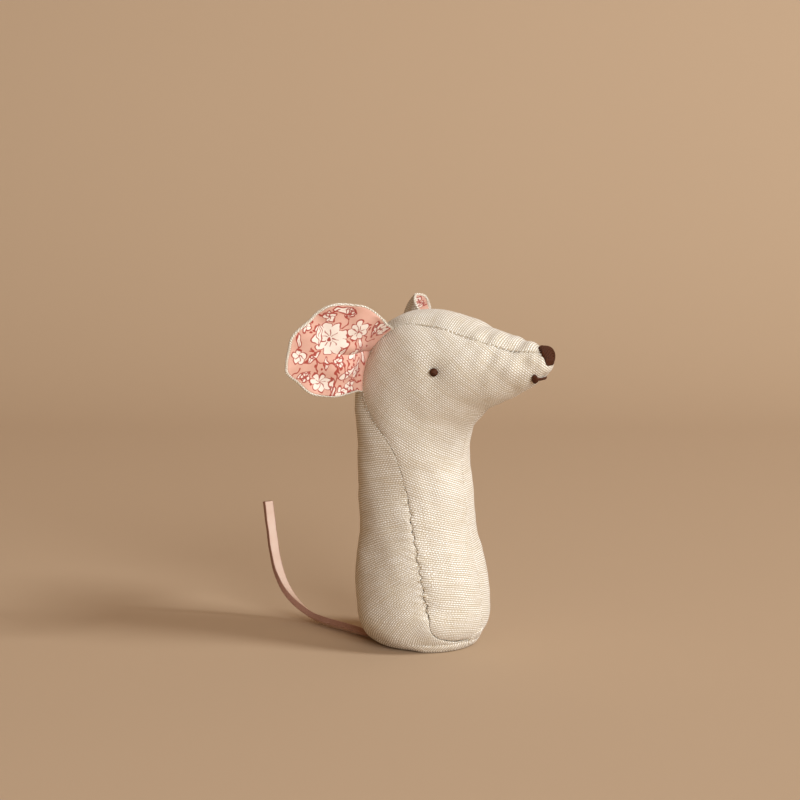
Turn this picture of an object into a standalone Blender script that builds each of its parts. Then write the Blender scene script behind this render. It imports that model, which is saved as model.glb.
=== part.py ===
"""Stuffed linen mouse that rattles, as a sewing pattern would list it.

The skin is two side panels and one long gusset that runs from the nose over the crown, down the back,
under the base and up to a small lip in front. Two lined ears are caught in the head seams, a leather lace
is the tail, and the stuffing holds a capsule with four loose beads.

Frame: origin at the centre of the flat base, +X towards the snout, +Y to the mouse's left, +Z up.
"""
import math

import bmesh
import bpy
import numpy as np
from mathutils import Vector

MM = 0.001

# Outline of the stuffed skin. One row for each station from the hips to the tip of the snout:
# back or crown point (x, z), front or chin point (x, z), half width. Station 0 is the edge of the flat base.
STATIONS = MM * np.array([
    (-23.0, 13.0, 23.0, 13.0, 22.8),
    (-23.5, 25.0, 21.7, 25.0, 22.3),
    (-22.5, 40.0, 17.9, 40.0, 20.2),
    (-23.2, 57.0, 15.8, 56.0, 18.8),
    (-23.9, 74.0, 15.8, 68.5, 19.1),
    (-23.6, 89.0, 17.6, 75.8, 20.0),
    (-18.9, 103.0, 20.8, 79.8, 20.6),
    (-7.5, 113.6, 24.2, 82.2, 19.4),
    (8.0, 115.2, 29.2, 84.6, 16.8),
    (24.8, 110.6, 35.0, 88.0, 12.8),
    (37.8, 106.6, 41.0, 91.4, 8.8),
    (44.4, 104.8, 44.8, 94.2, 6.0),
    (47.2, 104.0, 47.5, 97.0, 3.9),
    (48.8, 100.6, 48.8, 100.6, 0.0),
])
TIP_STATION = float(len(STATIONS))
CORNER_HEIGHT = 13.0 * MM   # height of the round edge between base and walls
CORNER_WIDTH = 9.5 * MM     # how far that edge runs in

# Seam between gusset and side panel: station, and angle in degrees from the middle of the back.
SEAM_STATIONS = (0.5, 1.5, 3.0, 4.0, 5.0, 6.0, 7.0, 8.0, 9.0, 10.0, 11.0, 12.0, 13.0)
SEAM_ANGLES = (127.0, 122.0, 116.0, 110.0, 95.0, 57.0, 42.0, 39.0, 43.0, 50.0, 49.0, 40.0, 33.0)
LIP_STATION = 0.456         # height of the gusset's lip at the front of the base
LIP_CORNER_STATION = 0.93   # where the lip has curved up into the side seam
LIP_EXPONENT = 2.6          # roundness of that curve

CLOTH = 0.8 * MM            # thickness of a sewn panel with its seam allowance
SEAM_GAP = 0.2 * MM         # each panel stops this far from the seam line
STUFFING_DEPTH = 1.5 * MM   # from the outside of the skin to the stuffing
THREAD = 0.5 * MM
THREAD_LIFT = 0.5 * MM      # from the skin to the middle of a thread
THREAD_SPACING = 4.0 * MM
GAP = 0.3 * MM

NOSE_STATION = 12.75        # middle of the nose's rim, which leans by NOSE_LEAN up to the crown
NOSE_LEAN = 0.75
NOSE_THICKNESS = 1.6 * MM
EYE_PLACE = (8.38, 98.0)    # station and angle
EYE_RADIUS = 1.25 * MM
EYE_HEIGHT = 0.8 * MM
MOUTH_STATION = 12.3
MOUTH_HALF_ANGLE = 36.0
MOUTH_DROP = 0.45           # how far back, in stations, the corners of the mouth lie
MOUTH_THICKNESS = 1.0 * MM

EAR_STATIONS = (5.95, 7.85)  # the ear is caught in the seam between these
EAR_RADIUS = 16.0 * MM
EAR_REACH = 33.4 * MM       # from the seam to the far edge
EAR_SWEEP = 41.0            # degrees back from straight out to the side
EAR_CLEARANCE = 1.9 * MM    # room between ear and head, so that the ear can flap
EAR_LAYER = 0.8 * MM
EAR_PINCH = 2.2 * MM        # depth of the fold at the root of the ear

TAIL_WIDTH = 3.4 * MM
TAIL_THICKNESS = 2.4 * MM
# Middle line of the leather lace, from inside the stuffing to its free end.
TAIL_ROUTE = MM * np.array([
    (-9.0, -9.8, 5.4), (-16.0, -7.8, 2.4), (-21.5, -6.0, 1.35), (-29.0, -3.7, 1.35), (-40.0, -0.5, 1.5),
    (-47.7, 1.8, 2.3), (-54.7, 3.0, 5.6), (-60.0, 3.5, 10.6), (-63.7, 4.0, 17.0), (-65.5, 4.0, 24.0),
    (-66.9, 4.0, 33.0), (-68.2, 4.0, 42.5),
])
TAIL_SWING_X = -21.5 * MM   # upright pivot where the lace leaves the skin
TAIL_CURL_X = -44.0 * MM    # level pivot where the lace leaves the floor

CASE_CENTRE = (3.0 * MM, 0.0)
CASE_FLOOR = 82.0 * MM
CASE_TOP = 98.0 * MM
CUP_RADIUS = 10.0 * MM
CUP_RIM = 95.0 * MM
CAP_RADIUS = 11.2 * MM
CAP_RIM = 89.5 * MM
CASE_WALL = 1.1 * MM
SPLIT_HEIGHT = 90.0 * MM    # where the head and body stuffing meet
BEAD_RADIUS = 2.1 * MM
BEAD_CIRCLE = 4.8 * MM

LINEN = (0.74, 0.66, 0.54)
PRINT = (0.72, 0.42, 0.32)
BROWN_THREAD = (0.055, 0.022, 0.012)
LINEN_THREAD = (0.60, 0.50, 0.38)
LEATHER = (0.42, 0.25, 0.17)
FIBRE = (0.86, 0.85, 0.80)
CASE_PLASTIC = (0.80, 0.80, 0.78)
BEAD_STEEL = (0.55, 0.55, 0.57)


# ---------------------------------------------------------------- scene and objects

for old in list(bpy.data.objects):
    bpy.data.objects.remove(old)

parts = bpy.data.collections.new("linen_mouse")
cutters = bpy.data.collections.new("cutters")
for collection in (parts, cutters):
    bpy.context.scene.collection.children.link(collection)


def material(name, colour, roughness, metallic=0.0):
    made = bpy.data.materials.new(name)
    made.use_nodes = True
    shader = made.node_tree.nodes["Principled BSDF"]
    shader.inputs["Base Color"].default_value = (*colour, 1.0)
    shader.inputs["Roughness"].default_value = roughness
    shader.inputs["Metallic"].default_value = metallic
    return made


linen = material("linen", LINEN, 0.9)
print_cotton = material("printed_cotton", PRINT, 0.85)
brown_thread = material("brown_thread", BROWN_THREAD, 0.7)
linen_thread = material("linen_thread", LINEN_THREAD, 0.8)
leather = material("leather", LEATHER, 0.75)
fibre = material("fibre_filling", FIBRE, 1.0)
case_plastic = material("case_plastic", CASE_PLASTIC, 0.4)
bead_steel = material("bead_steel", BEAD_STEEL, 0.3, 1.0)


def add_mesh(name, vertices, faces, finish=None, origin=(0.0, 0.0, 0.0)):
    """Object with its origin at the given point; without a finish it's a hidden cutter."""
    mesh = bpy.data.meshes.new(name)
    local = np.asarray(vertices, float) - np.asarray(origin, float)
    mesh.from_pydata([tuple(point) for point in local], [], faces)
    mesh.shade_smooth()
    item = bpy.data.objects.new(name, mesh)
    item.location = origin
    if finish is None:
        cutters.objects.link(item)
        item.hide_render = True
        item.display_type = "WIRE"
    else:
        parts.objects.link(item)
        mesh.materials.append(finish)
    return item


def thicken(item, thickness, offset):
    """Shell from an open surface: offset -1 grows inwards, 1 outwards."""
    shell = item.modifiers.new("thickness", "SOLIDIFY")
    shell.thickness = thickness
    shell.offset = offset


def cut(item, cutter):
    trim = item.modifiers.new("cut_" + cutter.name, "BOOLEAN")
    trim.operation = "DIFFERENCE"
    trim.object = cutter


def keep_inside(item, cutter):
    trim = item.modifiers.new("keep_" + cutter.name, "BOOLEAN")
    trim.operation = "INTERSECT"
    trim.object = cutter


def grid_faces(rows, columns, closed=False):
    """Quads of a grid whose normals point along (column direction) x (row direction)."""
    faces = []
    last = columns if closed else columns - 1
    for row in range(rows - 1):
        for column in range(last):
            following = (column + 1) % columns
            low = row * columns
            faces.append((low + column, low + following, low + columns + following, low + columns + column))
    return faces


def add_box(name, low, high):
    """Hidden cutter between two corners."""
    x, y, z = (np.array(pair) for pair in zip(low, high))
    bm = bmesh.new()
    bmesh.ops.create_cube(bm, size=1.0)
    bmesh.ops.scale(bm, vec=(x[1] - x[0], y[1] - y[0], z[1] - z[0]), verts=bm.verts)
    bmesh.ops.translate(bm, vec=(x.mean(), y.mean(), z.mean()), verts=bm.verts)
    mesh = bpy.data.meshes.new(name)
    bm.to_mesh(mesh)
    bm.free()
    item = bpy.data.objects.new(name, mesh)
    cutters.objects.link(item)
    item.hide_render = True
    item.display_type = "WIRE"
    return item


# ---------------------------------------------------------------- surface of the skin

def smooth(keys, values, at):
    """Cubic Hermite curve through the values, with the average of the neighbouring slopes at each key."""
    keys = np.asarray(keys, float)
    values = np.asarray(values, float)
    at = np.asarray(at, float)
    steps = np.diff(keys).reshape((-1,) + (1,) * (values.ndim - 1))
    slopes = np.diff(values, axis=0) / steps
    tangents = np.concatenate([slopes[:1], (slopes[1:] + slopes[:-1]) / 2, slopes[-1:]])
    cell = np.clip(np.searchsorted(keys, at, side="right") - 1, 0, len(keys) - 2)
    width = keys[cell + 1] - keys[cell]
    t = (at - keys[cell]) / width
    if values.ndim > 1:
        width = width[..., None]
        t = t[..., None]
    return ((2 * t**3 - 3 * t**2 + 1) * values[cell] + (t**3 - 2 * t**2 + t) * width * tangents[cell]
            + (3 * t**2 - 2 * t**3) * values[cell + 1] + (t**3 - t**2) * width * tangents[cell + 1])


def skin(station, angle):
    """Point on the outside of the skin. The angle, in degrees, is 0 on the back and crown, 90 on the right
    side and 180 on the front. Below station 1 the walls turn in to the flat base on a quarter ellipse."""
    station, angle = np.broadcast_arrays(np.asarray(station, float), np.asarray(angle, float))
    row = smooth(np.arange(1, len(STATIONS) + 1), STATIONS, np.maximum(station, 1.0))
    turn = np.clip(station, 0.0, 1.0) * math.pi / 2
    inset = CORNER_WIDTH * (1 - np.sin(turn))
    drop = CORNER_HEIGHT * np.cos(turn)
    back_x, back_z, front_x, front_z, half_width = np.moveaxis(row, -1, 0)
    back_x = back_x + inset
    front_x = front_x - inset
    cosine = np.cos(np.radians(angle))
    sine = np.sin(np.radians(angle))
    x = (back_x + front_x) / 2 + (back_x - front_x) / 2 * cosine
    z = (back_z + front_z) / 2 + (back_z - front_z) / 2 * cosine - drop
    return np.stack([x, -(half_width - inset) * sine, z], axis=-1)


def skin_normal(station, angle):
    step = 0.01
    station = np.asarray(station, float)
    above = np.minimum(station + step, TIP_STATION)
    below = np.maximum(station - step, 0.0)
    along = skin(above, angle) - skin(below, angle)
    around = skin(station, np.asarray(angle) + step) - skin(station, np.asarray(angle) - step)
    normal = np.cross(around, along)
    return normal / np.linalg.norm(normal, axis=-1, keepdims=True)


def lifted(station, angle, height):
    """Point at a height above the skin, or below it when the height is negative."""
    return skin(station, angle) + height * skin_normal(station, angle)


def seam_angle(station):
    return smooth(SEAM_STATIONS, SEAM_ANGLES, station)


def angle_for(station, angle, width):
    """How many degrees around the skin cover this width at a station."""
    apart = skin(station, np.asarray(angle) + 0.5) - skin(station, np.asarray(angle) - 0.5)
    reach = np.linalg.norm(apart, axis=-1)
    return width / np.maximum(reach, 0.01 * MM)


def lip_station(turn):
    """Station of the lip seam: turn 0 is the middle of the front, turn 1 the start of the side seam."""
    fall = np.cos(np.asarray(turn) * math.pi / 2).clip(0.0, 1.0) ** (2 / LIP_EXPONENT)
    return LIP_CORNER_STATION - (LIP_CORNER_STATION - LIP_STATION) * fall


def lip_fraction(turn):
    """How far the lip seam is from the front's middle, as a fraction of the way to the side seam."""
    return np.sin(np.asarray(turn) * math.pi / 2).clip(0.0, 1.0) ** (2 / LIP_EXPONENT)


def nose_station(angle):
    """Rim of the nose."""
    return NOSE_STATION - NOSE_LEAN * np.cos(np.radians(angle))


# ---------------------------------------------------------------- skin panels

PANEL_COLUMNS = 11
RISE_ROWS = (0.0, 0.01, 0.02, 0.035, 0.05, 0.08, 0.115, 0.155, 0.2, 0.25, 0.3, 0.35, 0.4, 0.44, 0.48, 0.52,
             0.56, 0.6, 0.64, 0.68, 0.72, 0.77, 0.82, 0.87, 0.92, 0.96, 1.0)


def side_panel(name, side):
    """Head side and chest in one piece: columns run from the side seam to the middle of the front."""
    turn = np.linspace(1.0, 0.0, PANEL_COLUMNS)
    rise = np.array(RISE_ROWS)[:, None]
    low = lip_station(turn) + 0.014
    top_angle = 180.0 - turn * (180.0 - seam_angle(12.6))
    high = nose_station(top_angle) - 0.1
    station = low + (high - low) * rise
    blend = np.clip(rise / 0.1, 0.0, 1.0)
    fraction = lip_fraction(turn) * (1 - blend) + turn * blend
    edge = seam_angle(np.maximum(station, LIP_CORNER_STATION))
    near = angle_for(station, edge, SEAM_GAP)
    far = angle_for(station, 180.0, SEAM_GAP)
    angle = (180.0 - far) - fraction * (180.0 - far - edge - near)
    points = skin(station, angle)
    if side == "left":
        points = points[:, ::-1] * np.array([1.0, -1.0, 1.0])
    panel = add_mesh(name, points.reshape(-1, 3), grid_faces(*station.shape), linen)
    thicken(panel, CLOTH, -1.0)
    return panel


GUSSET_COLUMNS = 21


def back_gusset():
    """Nose, crown, back, base and lip in one piece. Below the lip its rows go all round."""
    ring_rows = np.array([0.0, 0.1, 0.2, 0.3, 0.4, LIP_STATION])
    turn = np.linspace(0.0, 1.0, 9)[1:]
    lip_rows = lip_station(turn)
    upper_rows = LIP_CORNER_STATION + (11.9 - LIP_CORNER_STATION) * np.array(RISE_ROWS)[1:]
    lip_edge = 180.0 - lip_fraction(turn) * (180.0 - seam_angle(LIP_CORNER_STATION))
    station = np.concatenate([ring_rows, lip_rows, upper_rows])
    edge = np.concatenate([np.full(len(ring_rows), 180.0), lip_edge, seam_angle(upper_rows)])
    edge[len(ring_rows):] -= angle_for(station, edge, SEAM_GAP)[len(ring_rows):]
    station = np.repeat(station[:, None], GUSSET_COLUMNS, axis=1)
    angle = edge[:, None] * np.linspace(-1.0, 1.0, GUSSET_COLUMNS)
    points = skin(station, angle)
    faces = grid_faces(*station.shape)
    faces.append(tuple(range(GUSSET_COLUMNS - 2, -1, -1)))
    gusset = add_mesh("back_gusset", points.reshape(-1, 3), faces, linen)
    bm = bmesh.new()
    bm.from_mesh(gusset.data)
    bmesh.ops.remove_doubles(bm, verts=bm.verts, dist=0.01 * MM)
    bm.to_mesh(gusset.data)
    bm.free()
    thicken(gusset, CLOTH, -1.0)
    return gusset


side_panel("right_side_panel", "right")
side_panel("left_side_panel", "left")
gusset = back_gusset()


# ---------------------------------------------------------------- ears

def closed_loft(stations, columns, height):
    """Vertices and faces of the skin moved out by a height, closed at both ends."""
    angle = np.linspace(-180.0, 180.0, columns, endpoint=False)
    points = lifted(np.asarray(stations, float)[:, None], angle[None, :], height)
    faces = grid_faces(len(stations), columns, closed=True)
    faces.append(tuple(range(columns - 1, -1, -1)))
    top = (len(stations) - 1) * columns
    faces.append(tuple(range(top, top + columns)))
    return points.reshape(-1, 3), faces


head_clearance = add_mesh("head_clearance", *closed_loft(np.arange(4.0, 10.01, 0.5), 32, EAR_CLEARANCE))


def ear_frame():
    """Right ear: middle of its seam chord, half the chord, and the unit vectors outwards, along the seam
    upwards, and to the printed front."""
    low, high = (skin(station, seam_angle(station)) for station in EAR_STATIONS)
    upwards = (high - low) / np.linalg.norm(high - low)
    sweep = math.radians(EAR_SWEEP)
    outwards = np.array([-math.sin(sweep), -math.cos(sweep), 0.06])
    outwards -= upwards * (outwards @ upwards)
    outwards /= np.linalg.norm(outwards)
    return (low + high) / 2, np.linalg.norm(high - low) / 2, outwards, upwards, np.cross(upwards, outwards)


def ear_hinge():
    """Point on the head, halfway along the ear's seam."""
    middle = sum(EAR_STATIONS) / 2
    return skin(middle, seam_angle(middle))


def ear_layer(name, side, front, finish):
    """One layer of an ear: rings from the middle of the ear out to a round edge and a straight root."""
    middle, half_chord, outwards, upwards, forwards = ear_frame()
    centre = EAR_REACH - EAR_RADIUS
    around = np.radians(np.linspace(-122.0, 122.0, 27))
    reach = np.concatenate([[-3.0 * MM], centre + EAR_RADIUS * np.cos(around), [-3.0 * MM]])
    along = np.concatenate([[-half_chord], EAR_RADIUS * np.sin(around), [half_chord]])
    ring = np.array([0.25, 0.5, 0.75, 1.0])[:, None]
    p = np.concatenate([[centre], (centre + (reach - centre) * ring).ravel()])
    t = np.concatenate([[0.0], (along * ring).ravel()])
    fold = EAR_PINCH * np.exp(-(t / (5 * MM)) ** 2) * np.clip(1 - p / centre, 0.0, 1.0)
    lift = (0.5 if front else -0.5) * (EAR_LAYER + GAP) - fold
    points = middle + p[:, None] * outwards + t[:, None] * upwards + lift[:, None] * forwards
    count = len(reach)
    faces = [(0, 1 + (k + 1) % count, 1 + k) for k in range(count)]
    faces += [tuple(1 + index for index in face) for face in grid_faces(4, count, closed=True)]
    hinge = ear_hinge()
    if side == "left":
        points = points * np.array([1.0, -1.0, 1.0])
        hinge = hinge * np.array([1.0, -1.0, 1.0])
        faces = [face[::-1] for face in faces]
    layer = add_mesh(name, points, faces, finish, hinge)
    thicken(layer, EAR_LAYER, 0.0)
    cut(layer, head_clearance)
    return layer


for side in ("right", "left"):
    ear_layer(side + "_ear_back", side, False, linen)
    ear_layer(side + "_ear_front", side, True, print_cotton)


# ---------------------------------------------------------------- face

def nose():
    angle = np.linspace(-180.0, 180.0, 24, endpoint=False)
    rim = nose_station(angle) + 0.03
    rise = np.array([0.0, 0.3, 0.6, 0.85])[:, None]
    station = rim + (TIP_STATION - rim) * rise
    points = np.vstack([skin(station, angle).reshape(-1, 3), skin(TIP_STATION, 0.0)[None]])
    faces = grid_faces(4, 24, closed=True)
    tip = len(points) - 1
    faces += [(72 + k, 72 + (k + 1) % 24, tip) for k in range(24)]
    made = add_mesh("nose", points, faces, brown_thread)
    thicken(made, NOSE_THICKNESS, 0.5)


def eye(name, side):
    """Flattened ball of thread knots on the side of the head."""
    station, angle = EYE_PLACE
    place = lifted(station, angle, EYE_HEIGHT + GAP)
    normal = skin_normal(station, angle)
    if side == "left":
        place = place * np.array([1.0, -1.0, 1.0])
        normal = normal * np.array([1.0, -1.0, 1.0])
    bm = bmesh.new()
    bmesh.ops.create_uvsphere(bm, u_segments=14, v_segments=8, radius=EYE_RADIUS)
    bmesh.ops.scale(bm, vec=(1.0, 1.0, EYE_HEIGHT / EYE_RADIUS), verts=bm.verts)
    mesh = bpy.data.meshes.new(name)
    bm.to_mesh(mesh)
    bm.free()
    mesh.materials.append(brown_thread)
    mesh.shade_smooth()
    item = bpy.data.objects.new(name, mesh)
    item.location = place
    item.rotation_euler = Vector(normal).to_track_quat("Z", "Y").to_euler()
    parts.objects.link(item)


def thread_along(name, route, thickness, finish, swell=None):
    """Round thread through the route's points, with filled ends."""
    curve = bpy.data.curves.new(name, "CURVE")
    curve.dimensions = "3D"
    curve.bevel_depth = thickness / 2
    curve.bevel_resolution = 1
    curve.use_fill_caps = True
    spline = curve.splines.new("POLY")
    spline.points.add(len(route) - 1)
    for index, point in enumerate(route):
        spline.points[index].co = (*point, 1.0)
        spline.points[index].radius = 1.0 if swell is None else swell[index]
    curve.materials.append(finish)
    item = bpy.data.objects.new(name, curve)
    parts.objects.link(item)


def evenly(route, spacing):
    """The same route with points at an even spacing."""
    length = np.concatenate([[0.0], np.cumsum(np.linalg.norm(np.diff(route, axis=0), axis=1))])
    count = max(2, int(round(length[-1] / spacing)) + 1)
    at = np.linspace(0.0, length[-1], count)
    return np.stack([np.interp(at, length, route[:, axis]) for axis in range(3)], axis=-1)


def mouth():
    """Smile under the snout, thicker at its two corners."""
    across = np.linspace(-1.0, 1.0, 11)
    station = MOUTH_STATION - MOUTH_DROP * across**2
    route = lifted(station, 180.0 + MOUTH_HALF_ANGLE * across, MOUTH_THICKNESS * 0.75 + GAP)
    thread_along("mouth", route, MOUTH_THICKNESS, brown_thread, 1.0 + 0.4 * np.abs(across) ** 3)


nose()
eye("right_eye", "right")
eye("left_eye", "left")
mouth()


# ---------------------------------------------------------------- seam threads

CLOSING_TOP = 3.85          # station where the hand-closed stretch of the right seam ends


def seam_thread(name, low, high, side):
    station = np.linspace(low, high, 200)
    route = lifted(station, seam_angle(station), THREAD_LIFT)
    if side == "left":
        route = route * np.array([1.0, -1.0, 1.0])
    thread_along(name, evenly(route, THREAD_SPACING), THREAD, linen_thread)


def base_seam_thread():
    """Along the lip, from one side seam to the other."""
    turn = np.linspace(-0.97, 0.97, 161)
    station = lip_station(np.abs(turn))
    edge = 180.0 - seam_angle(LIP_CORNER_STATION)
    angle = 180.0 - np.sign(turn) * lip_fraction(np.abs(turn)) * edge
    route = lifted(station, angle, THREAD_LIFT)
    thread_along("base_seam_thread", evenly(route, THREAD_SPACING * 0.6), THREAD, linen_thread)


def front_seam_thread():
    station = np.linspace(LIP_STATION + 0.07, 11.75, 200)
    route = lifted(station, 180.0, THREAD_LIFT)
    thread_along("front_seam_thread", evenly(route, THREAD_SPACING), THREAD, linen_thread)


base_seam_thread()
front_seam_thread()
seam_thread("left_seam_thread", 1.0, 11.8, "left")
seam_thread("closing_stitches", 1.0, CLOSING_TOP, "right")
seam_thread("right_seam_thread", CLOSING_TOP + 0.04, 11.8, "right")


# ---------------------------------------------------------------- tail

def tail_line(count):
    at = np.linspace(0.0, len(TAIL_ROUTE) - 1.0, count)
    return smooth(np.arange(len(TAIL_ROUTE)), TAIL_ROUTE, at)


def point_at_x(line, x):
    return np.array([np.interp(-x, -line[:, 0], line[:, axis]) for axis in range(3)])


def lace(name, line, width, thickness, finish=None, origin=(0.0, 0.0, 0.0)):
    """Flat strip along a line, its width level and square to the line."""
    direction = line[-1] - line[0]
    level = np.array([direction[1], -direction[0], 0.0])
    level /= np.linalg.norm(level)
    points = np.stack([line - level * width / 2, line + level * width / 2], axis=1)
    strip = add_mesh(name, points.reshape(-1, 3), grid_faces(len(line), 2), finish, origin)
    thicken(strip, thickness, 0.0)
    return strip


whole_tail = tail_line(89)
swing_pivot = point_at_x(whole_tail, TAIL_SWING_X)
curl_pivot = point_at_x(whole_tail, TAIL_CURL_X)
root_line = whole_tail[whole_tail[:, 0] > TAIL_SWING_X + 2.2 * MM]
base_line = whole_tail[(whole_tail[:, 0] < TAIL_SWING_X) & (whole_tail[:, 0] > TAIL_CURL_X + 1.6 * MM)]
tip_line = whole_tail[whole_tail[:, 0] < TAIL_CURL_X]

lace("tail_root", root_line, TAIL_WIDTH, TAIL_THICKNESS, leather)
lace("tail_base", base_line, TAIL_WIDTH, TAIL_THICKNESS, leather, swing_pivot)
lace("tail_tip", tip_line, TAIL_WIDTH, TAIL_THICKNESS, leather, curl_pivot)
slit_line = np.vstack([root_line[0] + (root_line[0] - root_line[1]) * 0.5, root_line, base_line[:2]])
tail_slit = lace("tail_slit", slit_line, TAIL_WIDTH + 2 * GAP, TAIL_THICKNESS + 2 * GAP)
cut(gusset, tail_slit)


# ---------------------------------------------------------------- stuffing and rattle

CORE_ROWS = (0.0, 0.15, 0.3, 0.5, 0.75, 1.0, 1.5, 2.0, 2.7, 3.4, 4.2, 5.0, 5.6, 6.2, 6.8, 7.4, 8.0, 8.6, 9.2,
             9.8, 10.5, 11.2, 11.9, 12.4)
REACH = 0.1                 # half the side of the cutting boxes, larger than the toy


def stuffing(name, box, extra_cutters):
    core = add_mesh(name, *closed_loft(CORE_ROWS, 28, -STUFFING_DEPTH), fibre)
    keep_inside(core, box)
    for cutter in extra_cutters:
        cut(core, cutter)


def turned(name, profile, finish=None):
    """Profile of (radius, height) points turned about the rattle's axis; outer sides run downwards."""
    mesh = bpy.data.meshes.new(name)
    points = [(radius, 0.0, height) for radius, height in profile]
    mesh.from_pydata(points, [(k, k + 1) for k in range(len(points) - 1)], [])
    item = bpy.data.objects.new(name, mesh)
    item.location = (*CASE_CENTRE, 0.0)
    screw = item.modifiers.new("turn", "SCREW")
    screw.steps = 28
    screw.render_steps = 28
    screw.use_merge_vertices = True
    screw.merge_threshold = 0.01 * MM
    if finish is None:
        cutters.objects.link(item)
        item.hide_render = True
        item.display_type = "WIRE"
    else:
        parts.objects.link(item)
        mesh.materials.append(finish)
    return item


pocket_radius = CAP_RADIUS + GAP
pocket = turned("rattle_pocket", [
    (0.0, CASE_TOP + GAP), (pocket_radius, CASE_TOP + GAP), (pocket_radius, CASE_FLOOR - GAP),
    (0.0, CASE_FLOOR - GAP)])
below_split = add_box("below_split", (-REACH, -REACH, -REACH), (REACH, REACH, SPLIT_HEIGHT - GAP / 2))
above_split = add_box("above_split", (-REACH, -REACH, SPLIT_HEIGHT + GAP / 2), (REACH, REACH, 2 * REACH))
stuffing("body_stuffing", below_split, (pocket, tail_slit))
stuffing("head_stuffing", above_split, (pocket,))

cup_inside = CUP_RADIUS - CASE_WALL
turned("rattle_cup", [
    (0.0, CASE_FLOOR + CASE_WALL), (cup_inside, CASE_FLOOR + CASE_WALL), (cup_inside, CUP_RIM),
    (CUP_RADIUS, CUP_RIM), (CUP_RADIUS, CASE_FLOOR + MM), (CUP_RADIUS - MM, CASE_FLOOR), (0.0, CASE_FLOOR)],
    case_plastic)
cap_inside = CUP_RADIUS + GAP
turned("rattle_cap", [
    (0.0, CASE_TOP), (CAP_RADIUS - MM, CASE_TOP), (CAP_RADIUS, CASE_TOP - MM), (CAP_RADIUS, CAP_RIM),
    (cap_inside, CAP_RIM), (cap_inside, CASE_TOP - CASE_WALL), (0.0, CASE_TOP - CASE_WALL)],
    case_plastic)


def bead(name, turn):
    bm = bmesh.new()
    bmesh.ops.create_uvsphere(bm, u_segments=12, v_segments=8, radius=BEAD_RADIUS)
    mesh = bpy.data.meshes.new(name)
    bm.to_mesh(mesh)
    bm.free()
    mesh.materials.append(bead_steel)
    mesh.shade_smooth()
    item = bpy.data.objects.new(name, mesh)
    item.location = (CASE_CENTRE[0] + BEAD_CIRCLE * math.cos(turn), CASE_CENTRE[1] + BEAD_CIRCLE * math.sin(turn),
                     CASE_FLOOR + CASE_WALL + BEAD_RADIUS + GAP)
    parts.objects.link(item)


for number in range(4):
    bead("rattle_bead_%d" % (number + 1), math.radians(45.0 + 90.0 * number))
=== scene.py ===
import math

import bmesh
import bpy
import numpy as np
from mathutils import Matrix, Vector


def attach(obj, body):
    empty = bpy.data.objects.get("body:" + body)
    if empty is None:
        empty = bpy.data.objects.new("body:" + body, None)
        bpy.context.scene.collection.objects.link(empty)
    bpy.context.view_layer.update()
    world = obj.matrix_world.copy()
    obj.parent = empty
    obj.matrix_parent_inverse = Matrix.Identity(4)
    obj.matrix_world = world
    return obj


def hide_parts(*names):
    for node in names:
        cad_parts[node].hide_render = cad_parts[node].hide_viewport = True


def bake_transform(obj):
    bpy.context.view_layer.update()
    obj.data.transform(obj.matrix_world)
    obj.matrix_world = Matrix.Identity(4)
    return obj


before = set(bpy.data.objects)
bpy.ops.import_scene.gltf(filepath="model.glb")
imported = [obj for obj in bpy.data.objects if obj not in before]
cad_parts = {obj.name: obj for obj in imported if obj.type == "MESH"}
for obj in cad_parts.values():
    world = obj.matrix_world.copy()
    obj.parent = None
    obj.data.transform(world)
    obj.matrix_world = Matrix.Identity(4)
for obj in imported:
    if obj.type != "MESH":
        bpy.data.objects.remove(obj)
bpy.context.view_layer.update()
mm = 0.001
print("frame loaded,", len(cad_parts), "nodes")


# curves, noise and meshes

def smoothCurve(keys, values, at):
    # cubic Hermite through the values; each key's slope is the mean of the slopes beside it
    keys = np.asarray(keys, float)
    values = np.asarray(values, float)
    at = np.asarray(at, float)
    steps = np.diff(keys).reshape((-1,) + (1,) * (values.ndim - 1))
    slopes = np.diff(values, axis=0) / steps
    tangents = np.concatenate([slopes[:1], (slopes[1:] + slopes[:-1]) / 2, slopes[-1:]])
    cell = np.clip(np.searchsorted(keys, at, side="right") - 1, 0, len(keys) - 2)
    width = keys[cell + 1] - keys[cell]
    t = (at - keys[cell]) / width
    if values.ndim > 1:
        width, t = width[..., None], t[..., None]
    return ((2 * t**3 - 3 * t**2 + 1) * values[cell] + (t**3 - 2 * t**2 + t) * width * tangents[cell]
            + (3 * t**2 - 2 * t**3) * values[cell + 1] + (t**3 - t**2) * width * tangents[cell + 1])


def unit(vectors):
    return vectors / np.maximum(np.linalg.norm(vectors, axis=-1, keepdims=True), 1e-12)


def softNoise(points, size, seed, waves=9):
    # sum of sine waves with random directions and lengths near `size`, about -1 to 1
    dice = np.random.default_rng(seed)
    directions = unit(dice.normal(size=(waves, points.shape[-1])))
    lengths = size * dice.uniform(0.7, 1.5, waves)
    phases = dice.uniform(0, 2 * math.pi, waves)
    waveNumbers = directions * (2 * math.pi / lengths[:, None])
    return np.sin(points @ waveNumbers.T + phases).sum(-1) / math.sqrt(waves) / 1.2


def ease(value, low, high):
    # 0 below low, 1 above high, smooth between
    t = np.clip((value - low) / (high - low), 0, 1)
    return t * t * (3 - 2 * t)


def crowded(count, crowd=0.8):
    # 0 to 1 in count steps, closer together at both ends
    x = np.linspace(0, 1, count)
    return x - crowd * np.sin(2 * math.pi * x) / (2 * math.pi)


def walked(points, axis):
    # distance walked along a grid's rows or columns, from its first point
    steps = np.linalg.norm(np.diff(points, axis=axis), axis=-1)
    start = np.zeros_like(np.take(steps, [0], axis=axis))
    return np.concatenate([start, np.cumsum(steps, axis=axis)], axis=axis)


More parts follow.
